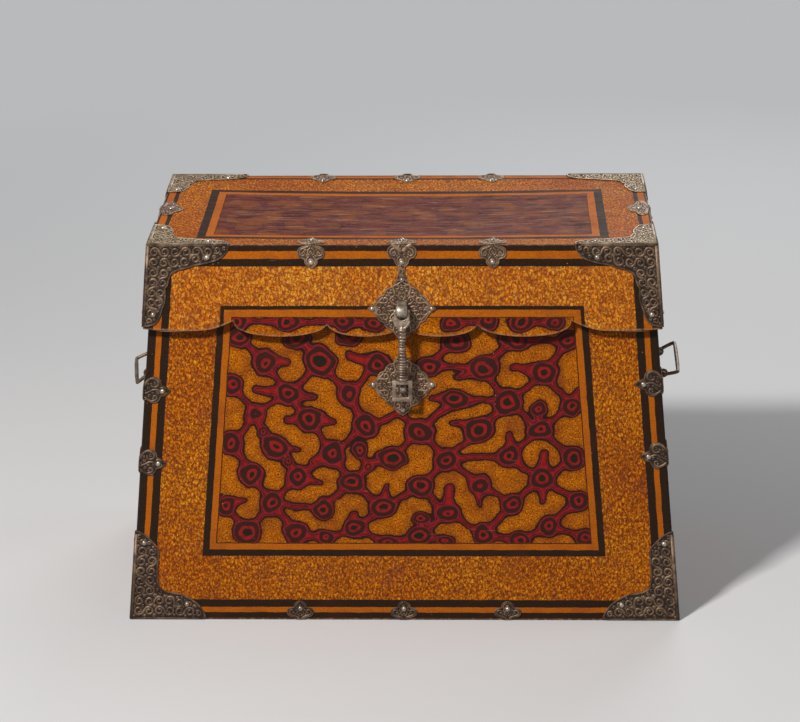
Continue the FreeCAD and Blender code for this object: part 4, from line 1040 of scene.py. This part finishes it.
edge_outline = [(-9, 0.6), (9, 0.6), (11, 3), (15, 6), (16.8, 11.5), (15, 17.5), (11, 20.3), (7.5, 21), (5.8, 23),
                (4.6, 26.5), (2.4, 29.6), (0, 32), (-2.6, 29.4), (-5.2, 25.5), (-6.2, 21.5), (-9.5, 20), (-13, 17),
                (-13.8, 12), (-12, 8), (-10, 4.5)]
edge_curls = [[(6, 1.2, 1.0), (11.5, 3.6, 1.3), (15, 8, 1.5), (15.2, 12.5, 1.5), (12.4, 17, 1.4), (7.6, 17.6, 1.2),
               (5, 14, 1.1), (6.4, 9.8, 1.1), (10, 9.4, 1.3)],
              [(-3, 1.6, 0.9), (-1, 7, 1.0), (1.6, 12, 1.1), (1.2, 18, 1.0), (-2, 21.5, 1.0), (-4.2, 25, 1.0),
               (-1.6, 28, 0.9)],
              [(-7, 2, 1.0), (-11, 7.5, 1.1), (-12.2, 12, 1.2), (-9.8, 16.4, 1.2), (-6, 15.6, 1.0),
               (-6.2, 11.8, 1.1)],
              [(3.6, 19.6, 0.9), (4.2, 23.6, 1.0), (2.4, 27.6, 1.0)]]


def clip_leaf(name, wide, high, extra=(), hole=22, drawn=clip_outline):
    """A trefoil leaf, scaled from the drawn one, which is 31 wide and 29 high."""
    outline = [(a * wide / 31, b * high / 29) for a, b in through(drawn, 3, closed=True)]
    halves = clip_half + [[(-a, b, share) for a, b, share in line] for line in clip_half]
    lines = [[(a * wide / 31, b * high / 29, share) for a, b, share in line] for line in softened(halves + list(extra))]
    return leaf(name, outline, filled(outline, lines, 0.9, 2.2, 1.2, 0.9), bosses=[(0, hole * high / 29)],
                radius=1.05, rim=0.9)


def clip_set(name, node, pieces, body, material=iron_relief):
    whole = joined(name, pieces)
    outward(whole)
    dress(whole, name, material, body, node)


lid_clip = clip_leaf("lid_clip", 31, 29)
centre_clip = clip_leaf("centre_clip", 31, 29, fold_mark, 22, spade_outline)
side_clip = clip_leaf("side_clip", 60, 27)
edge_shape = through(edge_outline, 3, closed=True)
edge_clip = leaf("edge_clip", edge_shape, filled(edge_shape, softened(edge_curls), 1.0, 2.0, 1.5, 0.9),
                 bosses=[(0, 23)], radius=1.15, rim=0.9)
foot_clip = clip_leaf("foot_clip", 31, 23, hole=17)

front_pair = over_edge(lid_clip, "front", -lid_clip_x) + over_edge(lid_clip, "front", lid_clip_x)
clip_set("lid_front_trefoils", "lid_front_clips", front_pair, "lid", plate_relief)
back_row = [reflected(piece, mirror_y) for along in (-lid_clip_x, 0, lid_clip_x)
            for piece in over_edge(lid_clip, "front", along)]
clip_set("lid_back_trefoils", "lid_back_clips", back_row, "lid", plate_relief)
side_pieces = over_edge(side_clip, "left", 0)
side_pieces += [copied(piece, mirror_x) for piece in list(side_pieces)]
clip_set("lid_side_trefoils", "lid_side_clips", side_pieces, "lid", plate_relief)

# The left clips of the body sit lower than the right ones, as in the photo
edge_stud = studs("edge_stud", [(0, 23)])
for edge_name, left_z, right_z in edge_clips:
    corner = []
    for middle, way in ((left_z, unmoved), (right_z, mirror_x)):
        for face in ("front", "left"):
            for piece, group in ((edge_clip, corner), (edge_stud, body_studs)):
                spot = on_wall(face, body_out, middle, 1, turned=True)
                group.append(reflected(laid(piece, spot), way))
    corner += [copied(piece, mirror_y) for piece in list(corner)]
    clip_set(edge_name + "_trefoils", edge_name + "_clips", corner, "trunk")

foot_row = (-foot_clip_x, 0, foot_clip_x)
front_feet = [at_foot(foot_clip, "front", along) for along in foot_row]
back_feet = [copied(piece, mirror_y) for piece in front_feet]
clip_set("front_foot_trefoils", "front_foot_clips", front_feet, "trunk")
clip_set("back_foot_trefoils", "back_foot_clips", back_feet, "trunk")
side_foot = at_foot(foot_clip, "left", 0)
clip_set("side_foot_trefoils", "side_foot_clips", [side_foot, copied(side_foot, mirror_x)], "trunk")
foot_stud = studs("foot_stud", [(0, 13.5)])
body_studs += [copied(piece, mirror_x) for piece in body_studs[:2]]
body_studs += [at_foot(foot_stud, "front", along) for along in foot_row]
side_stud = at_foot(foot_stud, "left", 0)


# Hasp plates: a pointed square with lobed sides, drawn as a quarter

plate_quarter = [(40, 0.0), (34, 3.5), (30, 8), (26.5, 14), (21, 16.5), (19, 21), (15, 24.5), (10.5, 26), (7.5, 31),
                 (3.5, 34.5), (0.0, 37)]
plate_curls = [((27, 3.5), (20, 10.5), 4.0, 1), ((12.5, 17.5), (6, 25.5), 4.2, -1)]
plate_lines = [[(36, 1, 0.7), (31, 5, 0.9), (26, 10, 1.0), (22, 14, 0.8)],
               [(4, 4, 0.8), (10, 6, 1.0), (14, 11, 1.0), (10, 14, 0.9), (7, 11, 0.8)],
               [(1.0, 10, 0.8), (4, 15, 1.0), (2.5, 20, 0.9), (0.8, 17, 0.7)],
               [(9, 1.2, 0.8), (14, 3, 1.0), (18, 1.8, 0.8)],
               [(1, 31, 0.7), (4, 30, 0.9), (7, 27, 0.9)]]


def in_quarters(lines):
    """The lines in all four quarters."""
    return [[(a * way_a, b * way_b, share) for a, b, share in line] for line in lines
            for way_a, way_b in ((1, 1), (-1, 1), (-1, -1), (1, -1))]


def on_plate(piece, middle, out):
    return laid(piece, on_wall("front", out, middle, -1, 0))


quarter = through(plate_quarter, 3)
plate_outline = (quarter[:-1] + [(-a, b) for a, b in reversed(quarter)][:-1] +
                 [(-a, -b) for a, b in quarter][:-1] + [(a, -b) for a, b in reversed(quarter)][:-1])
plate_strands = in_quarters([s_scroll(start, end, radius, 0.9, way) for start, end, radius, way in plate_curls] +
                            softened(plate_lines))
lozenge = leaf("lozenge", plate_outline, filled(plate_outline, plate_strands, 1.0, 2.4, 1.3, 1.0),
               bosses=[(-31, 0), (31, 0)], radius=1.2, rim=1.0)
neck_half = [(-3.0, 0), (-2.9, 6), (-3.2, 10), (-4.6, 14), (-5.6, 18), (-9.5, 24)]
neck_outline = through(neck_half + [(-a, b) for a, b in reversed(neck_half)], 2, closed=True)
neck = leaf("neck", neck_outline, softened([[(-1.6, 2, 0.8), (1.6, 7, 0.9), (-1.6, 12, 0.9), (1.6, 18, 0.8)]]),
            bosses=[(0, 14)], radius=0.9, rim=0.8)
upper_pieces = [on_plate(lozenge, upper_plate_z, lid_out), on_plate(neck, upper_plate_z + neck_rise, lid_out)]
clip_set("upper_plate", "upper_hasp_plate", upper_pieces + over_edge(centre_clip, "front", 0), "lid", plate_relief)
clip_set("lower_plate", "lower_hasp_plate", [on_plate(lozenge, lower_plate_z, body_out)], "trunk", plate_relief)

plate_studs = studs("plate_studs", [(-34.8, 0), (34.8, 0), (0, 30.3)])
hinge_studs = studs("hinge_studs", [(across, lower_plate_z - z) for across in (-hinge_x, hinge_x)
                                    for z in hinge_nails_z])
body_studs += [copied(piece, mirror_y) for piece in list(body_studs)] + [side_stud, copied(side_stud, mirror_x)]
body_studs += [on_plate(plate_studs, lower_plate_z, body_out),
               reflected(on_plate(hinge_studs, lower_plate_z, body_out), mirror_y)]
clip_set("body_studs", "body_rivets", body_studs, "trunk", iron_bright)
for piece in flat_pieces:
    bpy.data.objects.remove(piece)


# The hasp: a turned rod between a stirrup on the upper staple and a square eye over the lower one.
# It is drawn hanging straight down from its pivot, then leaned and put in place.

def spun(profile):
    """A turned shape from (distance below the pivot, radius) pairs."""
    thing = made(bpy.ops.mesh.primitive_circle_add, vertices=len(profile), radius=1.0, fill_type="NOTHING")
    move_points(thing, [(radius * mm, 0.0, -down * mm) for down, radius in profile])
    in_edit_mode(thing, lambda: bpy.ops.mesh.spin(steps=24, angle=2 * math.pi, center=(0, 0, 0), axis=(0, 0, 1)),
                 lambda: bpy.ops.mesh.select_all(action="SELECT"))
    outward(thing, 0.00001)
    smooth(thing, 40)
    return thing


# Each bead: how far below the pivot, its radius and half its height
beads = [(22.4, 5.6, 1.9), (26.6, 5.5, 2.0), (30.8, 5.6, 2.0), (34.8, 5.2, 1.8), (38.4, 4.2, 1.6), (41.6, 3.7, 1.5),
         (45.2, 4.9, 1.9), (49.0, 4.3, 1.6), (52.8, 5.2, 2.0), (56.6, 4.8, 1.6), (60.0, 5.3, 1.6), (63.2, 5.1, 1.4),
         (66.2, 5.4, 1.4), (69.2, 5.2, 1.4), (72.2, 5.4, 1.4), (75.2, 5.2, 1.4), (78.4, 5.6, 1.6), (81.8, 6.6, 1.7)]
rod_profile = [(17.5, 0.0), (17.5, 3.0)]
for down, radius, half in beads:
    rod_profile += [(down + share * half, radius - less) for share, less in
                    ((-1.0, 1.1), (-0.7, 0.25), (-0.3, 0.0), (0.3, 0.0), (0.7, 0.25), (1.0, 1.1))]
rod_profile += [(84.5, 3.4), (84.5, 0.0)]
rod = spun(rod_profile)

bow_half = [(-8.6, -2.5), (-9.2, 4), (-9.0, 10), (-7.0, 15.5), (-3.6, 19.2)]
outer_bow = through(bow_half + [(0, 20.4)] + [(-a, b) for a, b in reversed(bow_half)], 3)
hole_half = [(6.0, -2.5), (6.3, 3), (5.4, 7.0), (3.0, 9.4)]
inner_bow = through(hole_half + [(0, 10.2)] + [(-a, b) for a, b in reversed(hole_half)], 3)
stirrup = drawn_plate(outer_bow + inner_bow, 4.6)
modify(stirrup, bevel(1.2, 3, 50))
hung(stirrup, -2.35 * mm)
outward(stirrup, 0.00001)
smooth(stirrup, 50)
lip = strands_mesh([[(a, b, 0.6 + 0.6 * max(b, 0) / 20) for a, b in outer_bow[6:-6]]], 1.7, 3)
bar_half = [(-9.6, 0, 0.9), (-9.0, 0, 1.2), (-6.6, 0, 1.2), (-6.1, 0, 1.0)]
crossbar = strands_mesh([bar_half + [(-a, b, share) for a, b, share in reversed(bar_half)]], 2.3, 3)
for bent, forward in ((lip, -1.6), (crossbar, 0.0)):
    hung(bent, forward * mm)
    smooth(bent, 60)

# A square frame: a grid of three by three faces, stretched, without its middle one, and thickened
eye_frame = made(bpy.ops.mesh.primitive_grid_add, x_subdivisions=3, y_subdivisions=3, size=2.0)
spots = points_of(eye_frame)
across = np.where(np.abs(spots[:, 0]) > 0.5, 12.0, 7.2) * np.sign(spots[:, 0])
down = np.where(np.abs(spots[:, 1]) > 0.5, 12.8, 8.0) * np.sign(spots[:, 1])
eye_drop = 96.35
move_points(eye_frame, stacked(across, 0.0, down - eye_drop))
in_edit_mode(eye_frame, lambda: bpy.ops.mesh.select_mode(type="FACE"),
             lambda: bpy.ops.mesh.select_all(action="DESELECT"))
for face in eye_frame.data.polygons:
    face.select = math.hypot(face.center[0], face.center[2] + eye_drop * mm) < 0.001
bpy.ops.object.mode_set(mode="EDIT")
bpy.ops.mesh.delete(type="FACE")
bpy.ops.mesh.select_mode(type="VERT")
bpy.ops.object.mode_set(mode="OBJECT")
modify(eye_frame, ("SOLIDIFY", {"thickness": 4.6 * mm, "offset": 0.0}), bevel(0.8, 2))
smooth(eye_frame, 40)
hasp = joined("hasp_link", [rod, stirrup, lip, crossbar, eye_frame])
hasp.data.transform(Matrix.Translation((0, pivot_y * mm, pivot_z * mm)) @ Matrix.Rotation(-hasp_tilt, 4, "X"))
dress(hasp, "hasp_link", iron_plain, "hasp", "hasp")


# The domed staples that the hasp hangs from and closes over

def staple_loop(name, body, node, out, z, wide, reach, half_high, thick, crown):
    """A strap bowed out of the wall at this height."""
    thing, u, v = sheet_grid(name, np.linspace(-1, 1, 13), np.linspace(0, math.pi, 21))
    narrow = 1 - 0.10 * np.cos(v) ** 4
    bow = np.sin(v) ** 0.8 * reach - crown * u ** 4
    move_points(thing, stacked(u * wide / 2 * narrow, -np.maximum(bow, 0.2), np.cos(v) * (half_high - 0.6 * u ** 4)))
    modify(thing, ("SOLIDIFY", {"thickness": thick * mm, "offset": -1.0}), bevel(0.5, 2))
    outward(thing)
    smooth(thing, 60)
    thing.data.transform(Matrix.Translation((0, -half_y(z, out) * mm, z * mm)))
    dress(thing, name, iron_bright, body, node)


staple_loop("upper_loop", "lid", "upper_staple", lid_out[1], upper_plate_z, 10.6, 16.6, 7.2, 2.4, 1.6)
staple_loop("catch_loop", "trunk", "catch_staple", 0.0, catch_z, 7.4, 13.6, 5.4, 2.0, 1.2)


# The side handles: bent wire, a little out of true, as in the photo

def bent_handle(name, side, near, far):
    """near and far give how far out and how far down from its pins each end of the grip lies."""
    ends = [(0.0, -40.0), (0.0, -45.0), (0.12, -47.6), (0.7, -48.0), (0.94, -46.8), (1.0, -43.0)]
    line = [(near[0] * share, near[1] * share, y) for share, y in ends]
    for share in (0.25, 0.5, 0.75):
        line.append((near[0] + (far[0] - near[0]) * share + 0.5, near[1] + (far[1] - near[1]) * share,
                     -43 + 86 * share))
    line += [(far[0] * share, far[1] * share, -y) for share, y in reversed(ends)]
    points = [(side * (handle_x + out), y, handle_z - down, 1.12 if abs(y) < 30 else 1.0)
              for out, down, y in through(line, 5)]
    bail = wire(name, [points], wire_radius, 4)
    outward(bail)
    smooth(bail, 60)
    return bail


for half, side, near, far in (("left", -1, (13.6, 11.2), (23.6, 10.6)), ("right", 1, (17.5, -3.5), (18.9, -10.2))):
    bail = bent_handle(half + "_bail", side, near, far)
    dress(bail, half + "_bail", iron, "handle_" + half, half + "_handle")


# CAD nodes that keep their shape

for name, thing in nodes.items():
    if thing.hide_render:
        continue
    finish = {"board": board_wood, "pin": steel, "rivets": iron_bright}.get(name.split("_")[-1], iron)
    thing.data.materials.clear()
    thing.data.materials.append(finish)


# Floor, light and camera

studio_tone = (0.96, 0.98, 1.0, 1.0)
studio_strength = 0.50


def stage_finish(name, seen_colour, lit_colour):
    """A floor that looks pale, throws little light back up at the trunk and fades into the studio's tone far away."""
    finish = Finish(bpy.data.materials.new(name))
    path = finish.node("LightPath", [])
    seen = finish.math("MAXIMUM", path["Is Camera Ray"], path["Is Glossy Ray"])
    finish.set(Base_Color=finish.mix(seen, lit_colour, seen_colour), Roughness=0.8, Specular_IOR_Level=0.2)
    from_middle = finish.node("VectorMath", [finish.node("NewGeometry", [])["Position"]], operation="LENGTH")["Value"]
    haze = finish.node("Emission", {"Color": studio_tone, "Strength": studio_strength})[0]
    far = finish.both(finish.mask(from_middle, 0.9, 2.6), path["Is Camera Ray"])
    fade = finish.node("MixShader", {0: far, 1: finish.shader.outputs[0], 2: haze})[0]
    finish.feed(finish.tree.nodes["Material Output"].inputs["Surface"], fade)
    return finish.material


floor = made(bpy.ops.mesh.primitive_plane_add, size=16.0, location=(0, 3.0, 0))
floor.name = "floor"
floor.data.materials.append(stage_finish("pale_floor", (0.62, 0.62, 0.63, 1.0), (0.22, 0.22, 0.22, 1.0)))

world = bpy.data.worlds.new("studio")
sky = Finish(world, "Background")
path = sky.node("LightPath", [])
seen = sky.math("MAXIMUM", path["Is Camera Ray"], path["Is Glossy Ray"])
sky.set(Color=studio_tone, Strength=sky.node("MapRange", {"Value": seen, "To Min": 0.09, "To Max": studio_strength})[0])
bpy.context.scene.world = world


def lamp(name, place, size, power, colour=(1, 1, 1)):
    light = bpy.data.lights.new(name, "AREA")
    light.shape = "RECTANGLE"
    light.size, light.size_y = size
    light.energy = power
    light.color = colour
    thing = bpy.data.objects.new(name, light)
    bpy.context.scene.collection.objects.link(thing)
    thing.location = place
    thing.rotation_euler = (Vector((0, 0, 0.2)) - Vector(place)).to_track_quat("-Z", "Y").to_euler()


lamp("key", (-1.5, -2.2, 2.9), (0.4, 0.4), 152, (1.0, 0.98, 0.95))
lamp("fill", (1.9, -2.4, 1.2), (1.6, 1.6), 5)
lamp("back", (0.9, 2.8, 1.6), (1.6, 1.0), 34)
lamp("side", (2.9, 0.5, 1.3), (1.2, 1.2), 14)

# The camera's place and lens were fitted to ten corners of the trunk
yaw = math.radians(1.521)
pitch = math.radians(18.473)
roll = math.radians(-0.47)
ahead = Vector((-math.sin(yaw) * math.cos(pitch), math.cos(yaw) * math.cos(pitch), -math.sin(pitch)))
level = Vector((math.cos(yaw), math.sin(yaw), 0.0))
upright = level.cross(ahead)
camera_right = level * math.cos(roll) + upright * math.sin(roll)
camera_up = upright * math.cos(roll) - level * math.sin(roll)
camera_data = bpy.data.cameras.new("camera")
camera_data.sensor_fit = "HORIZONTAL"
camera_data.sensor_width = 36.0
camera_data.lens = 130.5
camera_data.clip_end = 30.0
camera = bpy.data.objects.new("camera", camera_data)
turn = Matrix((camera_right, camera_up, -ahead)).transposed()
camera.matrix_world = Matrix.Translation((0.0831, -3.4026, 1.4044)) @ turn.to_4x4()
bpy.context.scene.collection.objects.link(camera)
bpy.context.scene.camera = camera
bpy.context.scene.view_settings.view_transform = "Standard"
